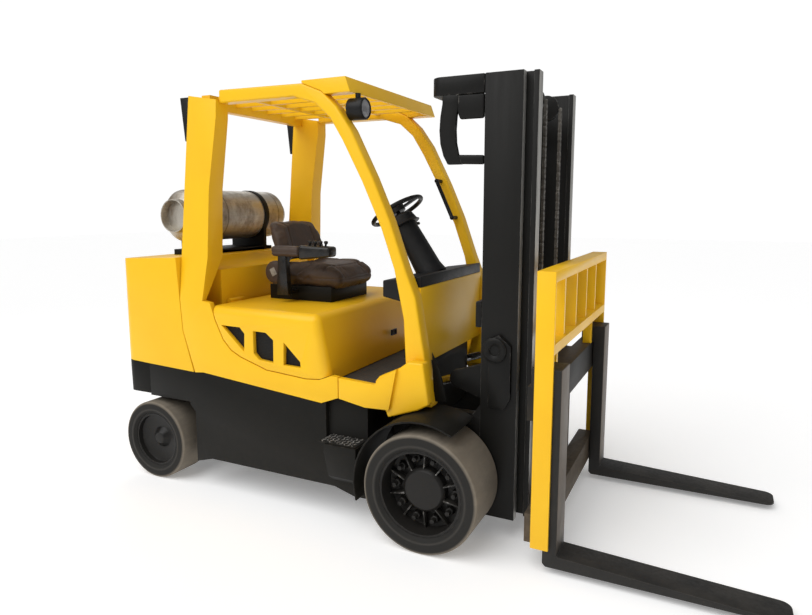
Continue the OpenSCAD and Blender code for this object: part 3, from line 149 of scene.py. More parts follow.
OVERHEAD_PLACE, OVERHEAD_AIM = (-3.0, -4.0, 6.0), (0.35, 0.75, -1.0)
bpy.ops.object.light_add(type="SUN", location=OVERHEAD_PLACE)
overhead = bpy.context.object
overhead.name = "overhead_light"
overhead.data.energy = 2.0
overhead.data.angle = math.radians(60.0)
overhead.rotation_euler = Vector(OVERHEAD_AIM).to_track_quat("-Z", "Y").to_euler()
SOFT_BOX_TARGET = Vector((0.0, 0.0, 0.9))
for name, place, size, power in (
    ("side_soft_box", (-1.8, -4.5, 3.6), 3.0, 16.0),
    ("front_soft_box", (4.5, -2.0, 3.5), 2.5, 12.0),
    ("rear_soft_box", (-4.5, 3.5, 4.0), 3.0, 30.0),
):
    bpy.ops.object.light_add(type="AREA", location=place)
    lamp = bpy.context.object
    lamp.name = name
    lamp.data.size = size
    lamp.data.energy = power
    aim = SOFT_BOX_TARGET - Vector(place)
    lamp.rotation_euler = aim.to_track_quat("-Z", "Y").to_euler()


# Frame and its black plates. Welded steel plate in satin black enamel, with road dust
# that thickens towards the floor and bare grey metal along a few knocked edges.
def dress(material, *names):
    for name in names:
        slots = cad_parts[name].data.materials
        slots.clear()
        slots.append(material)


SMOOTH_BELOW = math.radians(31.0)
even_shading = bpy.data.node_groups.new("even_shading", "GeometryNodeTree")
even_shading.interface.new_socket("Geometry", in_out="INPUT", socket_type="NodeSocketGeometry")
even_shading.interface.new_socket("Geometry", in_out="OUTPUT", socket_type="NodeSocketGeometry")
shading_in = even_shading.nodes.new("NodeGroupInput")
shading_out = even_shading.nodes.new("NodeGroupOutput")
smooth_faces = even_shading.nodes.new("GeometryNodeSetShadeSmooth")
smooth_faces.domain = "FACE"
sharp_edges = even_shading.nodes.new("GeometryNodeSetShadeSmooth")
sharp_edges.domain = "EDGE"
edge_angle = even_shading.nodes.new("GeometryNodeInputMeshEdgeAngle")
gentle = even_shading.nodes.new("FunctionNodeCompare")
gentle.operation = "LESS_THAN"
gentle.inputs["B"].default_value = SMOOTH_BELOW
for output, target in (
    (shading_in.outputs[0], smooth_faces.inputs["Geometry"]),
    (smooth_faces.outputs[0], sharp_edges.inputs["Geometry"]),
    (edge_angle.outputs["Unsigned Angle"], gentle.inputs["A"]),
    (gentle.outputs[0], sharp_edges.inputs["Shade Smooth"]),
    (sharp_edges.outputs[0], shading_out.inputs[0]),
):
    even_shading.links.new(output, target)

MERGE_REACH = 0.00002


def soften(width, *names, segments=2):
    for name in names:
        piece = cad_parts[name]
        piece.modifiers.new("weld", "WELD").merge_threshold = MERGE_REACH
        flat = piece.modifiers.new("flat", "DECIMATE")
        flat.decimate_type = "DISSOLVE"
        flat.angle_limit = math.radians(0.5)
        if width:
            edge = piece.modifiers.new("edge", "BEVEL")
            edge.width = width
            edge.segments = segments
            edge.limit_method = "ANGLE"
            edge.angle_limit = math.radians(35.0)
        piece.modifiers.new("shading", "NODES").node_group = even_shading


def mix(material, factor, first, second):
    made = node(material, "Mix", data_type="RGBA")
    for index, value in ((0, factor), (6, first), (7, second)):
        if isinstance(value, bpy.types.NodeSocket):
            material.node_tree.links.new(value, made.inputs[index])
        else:
            made.inputs[index].default_value = (*value, 1.0) if isinstance(value, tuple) else value
    return made.outputs[2]


def sums(material, operation, first, second=0.0):
    return node(material, "Math", {0: first, 1: second}, operation=operation).outputs["Value"]


def times(material, first, second):
    return sums(material, "MULTIPLY", first, second)


def span(material, value, low, high, to_low=0.0, to_high=1.0):
    return node(material, "MapRange", {
        "Value": value, "From Min": low, "From Max": high, "To Min": to_low, "To Max": to_high,
    }).outputs["Result"]


def along(material, vector, axis):
    return node(material, "SeparateXYZ", {"Vector": vector}).outputs[axis]


def outward(material, axis):
    return along(material, node(material, "TexCoord").outputs["Normal"], axis)


def roughen(material, pattern, smooth, rough, start=0.3):
    wire(material, span(material, pattern, start, 0.7, smooth, rough), "Roughness")


def relief(material, height, strength, distance):
    bump = node(material, "Bump", {"Height": height, "Strength": strength, "Distance": distance})
    wire(material, bump.outputs["Normal"], "Normal")


def worn_edges(material, radius):
    rounded = node(material, "Bevel", {"Radius": radius}, samples=4).outputs["Normal"]
    flat = node(material, "NewGeometry").outputs["Normal"]
    facing_share = node(material, "VectorMath", {0: rounded, 1: flat}, operation="DOT_PRODUCT")
    return span(material, facing_share.outputs["Value"], 0.97, 0.80)


ROAD_DUST = (0.16, 0.13, 0.095)
DUST_TOP, DUST_FULL = 0.75, 0.05
CHIP_REACH = 0.006


def enamel(name, colour, shade, roughness, chips, chip_share, reflect, coat, dust_share, dust=ROAD_DUST):
    material = finish(name, Coat_Weight=coat, Coat_Roughness=0.18, Specular_IOR_Level=reflect)
    place = object_place(material)
    cloudy = speckle(material, place, 2.2, 8.0)
    grain = speckle(material, place, 38.0, 6.0, 0.65)
    tone = ramp(material, cloudy, (0.35, colour), (0.7, shade))
    low = span(material, along(material, place, "Z"), DUST_TOP, DUST_FULL, 0.0, dust_share)
    shelf = span(material, outward(material, "Z"), 0.75, 1.0, 0.0, dust_share * 0.55)
    settled = sums(material, "MAXIMUM", times(material, low, grain), times(material, shelf, grain))
    tone = mix(material, settled, tone, dust)
    flaked = span(material, grain, 0.5, 0.62, 0.0, chip_share)
    chipped = times(material, worn_edges(material, CHIP_REACH), flaked)
    wire(material, mix(material, chipped, tone, chips), "Base Color")
    roughen(material, cloudy, roughness - 0.06, roughness + 0.1)
    relief(material, speckle(material, place, 300.0, 2.0), 0.06, 0.002)
    return material


black_enamel = enamel("black_enamel", (0.0062, 0.0061, 0.0052), (0.0095, 0.0091, 0.0077), 0.46,
                      (0.10, 0.09, 0.08), 0.55, reflect=0.13, coat=0.02, dust_share=0.07)
dress(black_enamel, "main_frame", "counterweight_base", "fenders")
soften(0.006, "main_frame", "counterweight_base")
soften(0.003, "fenders")

# Axles, knuckles and engine. Rough castings in greasy black paint under the truck,
# each bolted or pinned to the frame.
AXLE_PIECES = ("drive_axle", "steer_axle", "steer_knuckle_right", "steer_knuckle_left", "engine_block")
axle_iron = enamel("axle_iron", (0.012, 0.0115, 0.011), (0.03, 0.026, 0.021), 0.62,
                   (0.10, 0.085, 0.07), 0.5, reflect=0.25, coat=0.0, dust_share=0.4)
dress(axle_iron, *AXLE_PIECES)
soften(0.003, *AXLE_PIECES)


# Tyres. Smooth pressed-on solid rubber: the tread is scuffed to a dusty grey brown and the
# darker side wall carries one moulded ring above the rim.
def tyre_rubber(name, centre_x, centre_z, radius, ring):
    material = finish(name, Specular_IOR_Level=0.22)
    place = object_place(material)
    ahead = sums(material, "SUBTRACT", along(material, place, "X"), centre_x)
    up = sums(material, "SUBTRACT", along(material, place, "Z"), centre_z)
    squares = sums(material, "ADD", times(material, ahead, ahead), times(material, up, up))
    reach = sums(material, "SQRT", squares)
    scuffs = speckle(material, object_place(material, (1.0, 0.35, 1.0)), 26.0, 9.0, 0.68)
    blotch = speckle(material, place, 5.0, 4.0)
    tread = mix(material, scuffs, (0.115, 0.098, 0.078), (0.32, 0.275, 0.215))
    tread = mix(material, span(material, blotch, 0.35, 0.7, 0.0, 0.55), tread, (0.17, 0.145, 0.112))
    wall = mix(material, scuffs, (0.008, 0.0077, 0.0072), (0.030, 0.028, 0.025))
    across_ring = span(material, reach, ring - 0.008, ring + 0.008)
    line = ramp(material, across_ring, (0.0, grey(0.0)), (0.5, grey(1.0)), (1.0, grey(0.0)))
    wall = mix(material, times(material, line, 0.5), wall, (0.07, 0.064, 0.056))
    outer = span(material, reach, radius - 0.016, radius - 0.004)
    wire(material, mix(material, outer, wall, tread), "Base Color")
    roughen(material, scuffs, 0.62, 0.85)
    relief(material, sums(material, "ADD", line, times(material, scuffs, 0.25)), 0.5, 0.004)
    return material


DRIVE_X, DRIVE_Z = 0.238, 0.280
STEER_X, STEER_Z = -1.488, 0.225
DRIVE_RING, STEER_RING = 0.226, 0.178
drive_rubber = tyre_rubber("drive_rubber", DRIVE_X, DRIVE_Z, DRIVE_Z, DRIVE_RING)
steer_rubber = tyre_rubber("steer_rubber", STEER_X, STEER_Z, STEER_Z, STEER_RING)
dress(drive_rubber, "drive_tyre_right", "drive_tyre_left")
dress(steer_rubber, "steer_tyre_right", "steer_tyre_left")
soften(0.0, "drive_tyre_right", "drive_tyre_left", "steer_tyre_right", "steer_tyre_left")

# Wheels. Deep cast dishes that the tyres are pressed on, in satin black enamel with a little dust,
# their lips rubbed to grey metal.
WHEEL_PIECES = ("drive_wheel_right", "drive_wheel_left", "steer_wheel_right", "steer_wheel_left")
wheel_enamel = enamel("wheel_enamel", (0.008, 0.008, 0.008), (0.014, 0.013, 0.012), 0.38,
                      (0.16, 0.15, 0.14), 0.6, reflect=0.2, coat=0.05, dust_share=0.06)
dress(wheel_enamel, *WHEEL_PIECES)
soften(0.0025, *WHEEL_PIECES)


# Drive wheel ribs and nuts. Ten cast ribs brace each deep dish between hub and rim, their edges
# rubbed bright, and a forged hexagon nut holds the wheel between each two of them.
def begin(name, add, **settings):
    bpy.ops.object.select_all(action="DESELECT")
    add(**settings)
    bpy.ops.object.transform_apply(location=True, rotation=True, scale=True)
    piece = bpy.context.object
    piece.name = name
    return piece


def block(name, size, place=(0.0, 0.0, 0.0), turn=(0.0, 0.0, 0.0)):
    return begin(name, bpy.ops.mesh.primitive_cube_add, size=1.0, location=place, rotation=turn, scale=size)


def round_bar(name, sides, radius, length, place=(0.0, 0.0, 0.0), turn=(0.0, 0.0, 0.0)):
    return begin(name, bpy.ops.mesh.primitive_cylinder_add, vertices=sides, radius=radius, depth=length,
                 location=place, rotation=turn)


def choose(piece):
    bpy.ops.object.select_all(action="DESELECT")
    piece.select_set(True)
    bpy.context.view_layer.objects.active = piece


def edit(piece, pick, *steps):
    choose(piece)
    bpy.ops.object.mode_set(mode="EDIT")
    bpy.ops.mesh.select_mode(type="FACE")
    bpy.ops.mesh.select_all(action="DESELECT")
    bpy.ops.object.mode_set(mode="OBJECT")
    for face in piece.data.polygons:
        face.select = pick(face)
    bpy.ops.object.mode_set(mode="EDIT")
    for step, settings in steps:
        step(**settings)
    bpy.ops.object.mode_set(mode="OBJECT")


def facing(x=0.0, y=0.0, z=0.0, least=0.9):
    return lambda face: face.normal.dot(Vector((x, y, z))) > least


def inset(thickness, depth=0.0):
    return bpy.ops.mesh.inset, {"thickness": thickness, "depth": depth}


def extrude(x, y, z):
    return bpy.ops.mesh.extrude_region_move, {"TRANSFORM_OT_translate": {"value": (x, y, z)}}


def resize(x, y, z):
    return bpy.ops.transform.resize, {"value": (x, y, z)}


def shift(x, y, z):
    return bpy.ops.transform.translate, {"value": (x, y, z)}


def subdivide(cuts):
    return bpy.ops.mesh.subdivide, {"number_cuts": cuts}


def chamfer(piece, width, segments=2):
    edge = piece.modifiers.new("edge", "BEVEL")
    edge.width = width
    edge.segments = segments
    edge.limit_method = "ANGLE"
    edge.angle_limit = math.radians(30.0)
    bpy.context.view_layer.objects.active = piece
    bpy.ops.object.modifier_apply(modifier="edge")


def join(pieces):
    bpy.ops.object.select_all(action="DESELECT")
    for piece in pieces:
        piece.select_set(True)
    bpy.context.view_layer.objects.active = pieces[0]
    bpy.ops.object.join()
    return pieces[0]


def copies(piece, places):
    made = [piece]
    for location, rotation in places[1:]:
        choose(piece)
        bpy.ops.object.duplicate(linked=False)
        made.append(bpy.context.object)
        bpy.context.object.location = location
        bpy.context.object.rotation_euler = rotation
    piece.location, piece.rotation_euler = places[0]
    return join(made)


def settle(piece, material, body, angle=32.0):
    choose(piece)
    bpy.ops.object.transform_apply(location=True, rotation=True, scale=True)
    bpy.ops.object.mode_set(mode="EDIT")
    bpy.ops.mesh.select_all(action="SELECT")
    bpy.ops.mesh.remove_doubles(threshold=MERGE_REACH)
    bpy.ops.mesh.normals_make_consistent(inside=False)
    bpy.ops.object.mode_set(mode="OBJECT")
    bpy.ops.object.shade_smooth_by_angle(angle=math.radians(angle))
    piece.data.materials.clear()
    piece.data.materials.append(material)
    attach(piece, body)


rubbed_steel = enamel("rubbed_steel", (0.010, 0.0098, 0.009), (0.03, 0.028, 0.025), 0.36,
                      (0.62, 0.60, 0.57), 0.9, reflect=0.4, coat=0.0, dust_share=0.1)
DISC_FACE = 0.605
RIB_COUNT = 10
RIB_SIZE = (0.088, 0.050, 0.006)
RIB_CIRCLE, RIB_Y = 0.146, DISC_FACE + 0.024
NUT_RADIUS, NUT_HEIGHT = 0.0205, 0.022
NUT_CIRCLE, NUT_Y = 0.148, DISC_FACE + 0.015
RIB_TURNS = [math.radians((index + 0.5) * 360.0 / RIB_COUNT) for index in range(RIB_COUNT)]
for side, body in ((-1, "drive_right"), (1, "drive_left")):
    rib = block("wheel_rib", RIB_SIZE)
    edit(rib, facing(x=1.0), resize(1.0, 0.55, 1.4), shift(0.0, -0.010, 0.0))
    edit(rib, facing(y=1.0, least=0.3), subdivide(1))
    chamfer(rib, 0.0018)
    rib_places = []
    for turn in RIB_TURNS:
        rib_x = DRIVE_X + RIB_CIRCLE * math.cos(turn)
        rib_z = DRIVE_Z + RIB_CIRCLE * math.sin(turn)
        rib_places.append(((rib_x, side * RIB_Y, rib_z), (0.0 if side > 0 else math.pi, -turn, 0.0)))
    ribs = copies(rib, rib_places)
    ribs.name = "wheel_ribs_" + body
    settle(ribs, rubbed_steel, body)

    nut = round_bar("wheel_nut", 6, NUT_RADIUS, NUT_HEIGHT)
    edit(nut, facing(z=1.0), inset(0.004, 0.003), inset(0.005), extrude(0.0, 0.0, 0.010))
    edit(nut, facing(z=-1.0), extrude(0.0, 0.0, -0.004), resize(1.25, 1.25, 1.0))
    chamfer(nut, 0.0015)
    nut_places = []
    for turn in RIB_TURNS:
        nut_x = DRIVE_X + NUT_CIRCLE * math.sin(turn)
        nut_z = DRIVE_Z + NUT_CIRCLE * math.cos(turn)
        nut_places.append(((nut_x, side * NUT_Y, nut_z), (-side * math.pi / 2.0, turn, 0.0)))
    nuts = copies(nut, nut_places)
    nuts.name = "wheel_nuts_" + body
    settle(nuts, wheel_enamel, body)

# Body panels. The cast counterweight, the pressed cowl and rear cover and the folded guard legs and
# roof are all in the same yellow enamel, thinly dusted and knocked along some edges.
yellow_enamel = enamel("yellow_enamel", (0.93, 0.545, 0.012), (0.90, 0.50, 0.010), 0.36,
                       (0.35, 0.20, 0.03), 0.35, reflect=0.26, coat=0.08, dust_share=0.05)
dress(yellow_enamel, "counterweight", "radiator_cover", "rear_legs", "cowl", "front_legs", "guard_roof")
soften(0.014, "counterweight", segments=4)
soften(0.006, "radiator_cover", "cowl", segments=3)
soften(0.011, "rear_legs", "front_legs", segments=4)
soften(0.005, "guard_roof", segments=3)


# Guard leg feet. Each front leg ends in a flared yellow foot that meets the cowl's side panel over
# the fender, with a black gusset plate inboard of it.
def flat_plate(name, outline, low, high):
    piece = begin(name, bpy.ops.mesh.primitive_circle_add, vertices=len(outline), fill_type="NGON")
    for vertex, (x, z) in zip(piece.data.vertices, outline):
        vertex.co = (x, low, z)
    edit(piece, lambda face: True, extrude(0.0, high - low, 0.0))
    return piece


FOOT_OUTLINE = (
    (-0.057, 0.735), (-0.032, 0.764), (0.070, 0.812), (0.120, 0.850), (0.196, 0.850),
    (0.226, 0.655), (0.170, 0.622), (0.090, 0.594), (0.013, 0.566), (0.004, 0.590),
)
FOOT_INNER_Y, FOOT_OUTER_Y = 0.507, 0.574
GUSSET_OUTLINE = ((0.190, 0.880), (0.204, 0.640), (0.270, 0.650), (0.231, 0.800))
GUSSET_INNER_Y, GUSSET_OUTER_Y = 0.448, 0.458
for side, name in ((-1, "right"), (1, "left")):
    leg_foot = flat_plate("leg_foot_" + name, FOOT_OUTLINE, side * FOOT_INNER_Y, side * FOOT_OUTER_Y)
    chamfer(leg_foot, 0.010, 3)
    settle(leg_foot, yellow_enamel, "chassis", 40.0)
    gusset = flat_plate("leg_gusset_" + name, GUSSET_OUTLINE, side * GUSSET_INNER_Y, side * GUSSET_OUTER_Y)
    chamfer(gusset, 0.003)
    settle(gusset, black_enamel, "chassis")

# Front bulkhead. A black plate, pressed in inside a flat border, closes the frame under the floor
# between the two tilt cylinders.
BULKHEAD_PLACE, BULKHEAD_SIZE = (0.099, 0.0, 0.625), (0.008, 0.520, 0.330)
bulkhead = block("front_bulkhead", BULKHEAD_SIZE, BULKHEAD_PLACE)
edit(bulkhead, facing(x=1.0), inset(0.030), inset(0.010, -0.003))
chamfer(bulkhead, 0.002)
settle(bulkhead, black_enamel, "chassis")

# Hood and its side grilles. The hood is one deep rounded steel cover; behind its three cut windows
# sits a black perforated sheet.
dress(yellow_enamel, "hood")
soften(0.004, "hood")
grille_sheet = finish("grille_sheet", Roughness=0.55, Specular_IOR_Level=0.2)
holes = node(grille_sheet, "TexVoronoi", {
    "Vector": object_place(grille_sheet), "Scale": 120.0, "Randomness": 0.0,
})
# The holes are painted near-black: painted shade for the dark space behind the sheet. The same mask also
# sinks them as a bump.
perforation_and_shade = span(grille_sheet, holes.outputs["Distance"], 0.30, 0.38)
wire(grille_sheet, mix(grille_sheet, perforation_and_shade, grey(0.002), (0.014, 0.0135, 0.013)), "Base Color")
relief(grille_sheet, perforation_and_shade, 0.6, 0.002)
dress(grille_sheet, "hood_grilles")

# Hood pull. A grained black moulding with a sunk middle for the fingers is set on the hood's front
# face, below the seat.
moulding = finish("black_moulding", Specular_IOR_Level=0.22)
moulding_place = object_place(moulding)
moulding_grain = speckle(moulding, moulding_place, 420.0, 3.0, 0.6)
moulding_dust = speckle(moulding, moulding_place, 12.0, 7.0, 0.65)
moulding_dusty = span(moulding, moulding_dust, 0.5, 0.8, 0.0, 0.25)
wire(moulding, mix(moulding, moulding_dusty, (0.008, 0.008, 0.0085), (0.030, 0.028, 0.025)), "Base Color")
roughen(moulding, moulding_dust, 0.36, 0.52)
relief(moulding, moulding_grain, 0.25, 0.0012)
PULL_PLACE, PULL_SIZE = (-0.3035, 0.114, 0.835), (0.012, 0.060, 0.034)
pull = block("hood_pull", PULL_SIZE, PULL_PLACE)
edit(pull, facing(x=1.0), inset(0.006), inset(0.003, -0.007))
chamfer(pull, 0.002)
settle(pull, moulding, "hood_lid")

# Floor and step. A ribbed black rubber mat covers the floor plate, and each step well has a
# steel tread plate whose raised bars are worn pale.
floor_mat = finish("floor_mat", Specular_IOR_Level=0.2)
mat_place = object_place(floor_mat)
mat_blocks = node(floor_mat, "TexBrick", {
    "Vector": mat_place, "Scale": 9.0, "Mortar Size": 0.012, "Brick Width": 1.1, "Row Height": 0.8,
})
mat_ribs = node(floor_mat, "TexWave", {
    "Vector": mat_place, "Scale": 16.0, "Distortion": 0.0,
}, bands_direction="X")
mat_dirt = speckle(floor_mat, mat_place, 14.0, 8.0, 0.65)
rib_height = span(floor_mat, mat_ribs.outputs["Fac"], 0.25, 0.5)
mat_tone = mix(floor_mat, mat_dirt, (0.022, 0.021, 0.020), (0.075, 0.068, 0.058))
mat_tone = mix(floor_mat, times(floor_mat, rib_height, 0.35), mat_tone, (0.085, 0.078, 0.07))
wire(floor_mat, mat_tone, "Base Color")
roughen(floor_mat, mat_dirt, 0.55, 0.8)
relief(floor_mat, sums(floor_mat, "ADD", rib_height, mat_blocks.outputs["Fac"]), 0.7, 0.003)
dress(floor_mat, "floor_plate")
soften(0.003, "floor_plate")

STEP_BACK, STEP_FRONT, STEP_Y, STEP_Z = -0.316, -0.112, 0.574, 0.4265
STEP_WIDTH, SHEET_THICK = 0.196, 0.003
BAR_SIZE = (0.020, 0.006, 0.0035)
BAR_ROWS, BAR_COLUMNS = 11, 9
ROW_STEP, COLUMN_STEP = 0.017, 0.021
FIRST_ROW, FIRST_COLUMN = STEP_Y - 0.085, STEP_BACK + 0.013
WORN_FROM, WORN_TO = 0.4290, 0.4318
step_steel = finish("step_steel", Metallic=0.4, Specular_IOR_Level=0.4)
step_place = object_place(step_steel)
step_wear = speckle(step_steel, step_place, 45.0, 8.0, 0.7)
step_rise = span(step_steel, along(step_steel, step_place, "Z"), WORN_FROM, WORN_TO)
step_pale = times(step_steel, step_rise, span(step_steel, step_wear, 0.40, 0.58))
wire(step_steel, mix(step_steel, step_pale, (0.018, 0.017, 0.015), (0.42, 0.40, 0.37)), "Base Color")
roughen(step_steel, step_wear, 0.4, 0.7)
for side, name in ((-1, "right"), (1, "left")):
    sheet = block("step_sheet", (STEP_FRONT - STEP_BACK, STEP_WIDTH, SHEET_THICK),
                  ((STEP_BACK + STEP_FRONT) / 2.0, side * STEP_Y, STEP_Z + 0.001))
    bar = block("tread_bar", BAR_SIZE)
    edit(bar, facing(z=1.0), resize(0.6, 0.5, 1.0))
    bar_places = []
    for row in range(BAR_ROWS):
        for column in range(BAR_COLUMNS):
            turn = math.radians(45.0 if (row + column) % 2 else -45.0)
            bar_x = FIRST_COLUMN + column * COLUMN_STEP
            bar_y = side * (FIRST_ROW + row * ROW_STEP)
            bar_places.append(((bar_x, bar_y, STEP_Z + 0.0040), (0.0, 0.0, turn)))
    tread = join([sheet, copies(bar, bar_places)])
    tread.name = "step_tread_" + name
    settle(tread, step_steel, "chassis")

# Pedals, dash, steering column and lamp housings. The dash, the column with its hand wheel, the
# pedals and the lamps all have the same grained black moulding, lightly dusted.
dress(moulding, "dash", "steering_column", "pedals", "steering_wheel", "tail_lamps", "work_lamp")
soften(0.006, "dash", "steering_column", segments=3)
soften(0.0025, "pedals", "tail_lamps", "work_lamp")
soften(0.0, "steering_wheel")

# Column shroud. A big moulded black cover stands on the dash round the steering shaft and flares into
# a head under the hand wheel, with a narrow neck below the head.
LEAN = math.radians(31.5)
COLUMN_TOP = Vector((-0.204, 0.0, 1.512))
COLUMN_AXIS = Vector((-math.sin(LEAN), 0.0, math.cos(LEAN)))
SHROUD_RADIUS, SHROUD_LENGTH, SHROUD_DROP = 0.074, 0.270, 0.190
NECK_RISE, HEAD_RISE, CROWN_RISE, SKIRT_DROP = 0.004, 0.046, 0.014, 0.030
shroud = round_bar("column_shroud", 40, SHROUD_RADIUS, SHROUD_LENGTH,
                   COLUMN_TOP - COLUMN_AXIS * SHROUD_DROP, (0.0, -LEAN, 0.0))
edit(shroud, facing(*COLUMN_AXIS, least=0.95), resize(0.82, 0.82, 0.82),
     extrude(*(COLUMN_AXIS * NECK_RISE)), resize(1.30, 1.30, 1.30),
     extrude(*(COLUMN_AXIS * HEAD_RISE)), resize(0.86, 0.86, 0.86),
     extrude(*(COLUMN_AXIS * CROWN_RISE)), resize(0.6, 0.6, 0.6))
edit(shroud, facing(*-COLUMN_AXIS, least=0.95),
     extrude(*(COLUMN_AXIS * -SKIRT_DROP)), resize(1.16, 1.16, 1.16))
chamfer(shroud, 0.006, 3)
settle(shroud, moulding, "chassis", 40.0)

# Shift stalk. A thin black lever with a moulded knob on its end sticks out of the left of the shroud's
# head, within reach of the hand wheel.
STALK_RADIUS, STALK_LENGTH = 0.005, 0.110
STALK_PLACE = COLUMN_TOP - COLUMN_AXIS * 0.045 + Vector((0.0, 0.105, 0.004))
stalk = round_bar("shift_stalk", 16, STALK_RADIUS, STALK_LENGTH, STALK_PLACE, (math.radians(82.0), 0.0, 0.0))
edit(stalk, lambda face: abs(face.normal.y) > 0.9, inset(0.001, 0.001))
edit(stalk, facing(y=1.0), extrude(0.0, 0.006, 0.0), resize(2.2, 1.0, 2.2),
     extrude(0.0, 0.026, 0.0), inset(0.003, 0.003))
settle(stalk, moulding, "chassis", 40.0)

# Grab handle. A bent steel rod on the guard's left front leg, where the driver climbs in,
# is dipped in black plastic.
dress(moulding, "grab_handle")
soften(0.0, "grab_handle")

# Work lamp glass. A domed, fluted lens in a thin black bezel closes the lamp's bowl and looks ahead
# from under the guard.
LENS_RADIUS, LENS_THICK, LENS_PLACE = 0.042, 0.006, (-0.172, -0.440, 2.030)
BEZEL_RADIUS, BEZEL_WIRE, BEZEL_PLACE = 0.046, 0.0045, (-0.170, -0.440, 2.030)
LOOKING_AHEAD = (0.0, math.pi / 2.0, 0.0)
lens_glass = finish("lens_glass", Roughness=0.08, Specular_IOR_Level=0.7,
                    Coat_Weight=0.5, Coat_Roughness=0.05)
lens_waves = node(lens_glass, "TexWave", {
    "Vector": object_place(lens_glass), "Scale": 42.0,
}, bands_direction="Y")
lens_flutes = lens_waves.outputs["Fac"]
# The flutes are painted as lighter and darker grey bands: painted glints and painted shade of the fluted
# glass. The same waves also bump its face.
lens_flute_glints = ramp(lens_glass, lens_flutes, (0.3, (0.10, 0.10, 0.105)), (0.7, (0.30, 0.30, 0.31)))
wire(lens_glass, lens_flute_glints, "Base Color")
relief(lens_glass, lens_flutes, 0.3, 0.002)
lens = round_bar("lamp_lens", 40, LENS_RADIUS, LENS_THICK, LENS_PLACE, LOOKING_AHEAD)
edit(lens, facing(x=1.0), inset(0.010, 0.004), inset(0.014, 0.003), inset(0.012, 0.001))
settle(lens, lens_glass, "chassis", 60.0)
bezel = begin("lamp_bezel", bpy.ops.mesh.primitive_torus_add, major_radius=BEZEL_RADIUS,
              minor_radius=BEZEL_WIRE, major_segments=48, minor_segments=10,
              location=BEZEL_PLACE, rotation=LOOKING_AHEAD)
edit(bezel, facing(x=1.0, least=0.85), shift(0.001, 0.0, 0.0))
settle(bezel, moulding, "chassis", 60.0)

# Gas tank and cradle. A brushed alloy cylinder, stained by weather and ringed by its strap's rub marks,
# lies across the tail in a black bracket.
tank_metal = finish("tank_metal", Metallic=0.75, Specular_IOR_Level=0.5)
tank_brush = speckle(tank_metal, object_place(tank_metal, (1.0, 0.06, 1.0)), 160.0, 6.0, 0.6)
tank_stain = speckle(tank_metal, object_place(tank_metal, (1.6, 1.0, 0.55)), 7.0, 9.0, 0.68)
tank_across = along(tank_metal, object_place(tank_metal), "Y")
RIGHT_STRAP_Y, LEFT_STRAP_Y = -0.135, 0.36


def strap_mark(strap_y):
    offset = sums(tank_metal, "ABSOLUTE", sums(tank_metal, "SUBTRACT", tank_across, strap_y))
    return span(tank_metal, offset, 0.007, 0.003)


tank_marks = sums(tank_metal, "MAXIMUM", strap_mark(RIGHT_STRAP_Y), strap_mark(LEFT_STRAP_Y))
tank_tone = mix(tank_metal, tank_brush, (0.36, 0.33, 0.28), (0.60, 0.57, 0.51))
tank_stained = span(tank_metal, tank_stain, 0.48, 0.72, 0.0, 0.85)
tank_tone = mix(tank_metal, tank_stained, tank_tone, (0.13, 0.085, 0.045))
tank_tone = mix(tank_metal, times(tank_metal, tank_marks, 0.6), tank_tone, (0.10, 0.08, 0.06))
wire(tank_metal, tank_tone, "Base Color")
roughen(tank_metal, tank_stain, 0.34, 0.62, start=0.35)
tank_height = sums(tank_metal, "ADD", times(tank_metal, tank_brush, 0.2), tank_marks)
relief(tank_metal, tank_height, 0.35, 0.003)
dress(tank_metal, "gas_tank")
soften(0.002, "gas_tank")
dress(black_enamel, "tank_cradle")
soften(0.002, "tank_cradle")

# Mast. Rolled steel channels in black enamel, the front flanges rubbed bright by the carriage
# rollers; cross ties, hangers and lift cylinders are welded or pinned to them.
FLANGE_FROM, FLANGE_TO = 0.585, 0.588
mast_enamel = enamel("mast_enamel", (0.0065, 0.0063, 0.0058), (0.010, 0.0096, 0.0085), 0.42,
                     (0.20, 0.185, 0.165), 0.9, reflect=0.16, coat=0.03, dust_share=0.08)
dress(mast_enamel, "mast_hangers", "lift_barrels", "mast_inner_ties")
rail_steel = finish("rail_steel", Specular_IOR_Level=0.18)
rail_place = object_place(rail_steel)
rail_streak = speckle(rail_steel, object_place(rail_steel, (1.0, 1.0, 0.06)), 60.0, 8.0, 0.7)
rail_cloud = speckle(rail_steel, rail_place, 3.0, 6.0)
rail_paint = mix(rail_steel, rail_cloud, (0.0065, 0.0063, 0.0058), (0.011, 0.0105, 0.0092))
rail_front = times(rail_steel, span(rail_steel, outward(rail_steel, "X"), 0.6, 0.95),
                   span(rail_steel, along(rail_steel, rail_place, "X"), FLANGE_FROM, FLANGE_TO))
rail_rolled = times(rail_steel, rail_front, span(rail_steel, rail_streak, 0.34, 0.52, 0.35, 1.0))
rail_knocked = times(rail_steel, worn_edges(rail_steel, 0.005),
                     span(rail_steel, rail_streak, 0.45, 0.6, 0.0, 0.7))
rail_rubbed = sums(rail_steel, "MAXIMUM", rail_rolled, rail_knocked)
wire(rail_steel, mix(rail_steel, rail_rubbed, rail_paint, (0.50, 0.49, 0.46)), "Base Color")
roughen(rail_steel, rail_streak, 0.36, 0.52)
wire(rail_steel, times(rail_steel, rail_rubbed, 0.8), "Metallic")
relief(rail_steel, speckle(rail_steel, rail_place, 240.0, 2.0), 0.06, 0.002)
dress(rail_steel, "mast_outer_rails", "mast_inner_rails")
soften(0.003, "mast_outer_rails", "mast_inner_rails", "mast_hangers", "mast_inner_ties")
soften(0.002, "lift_barrels")

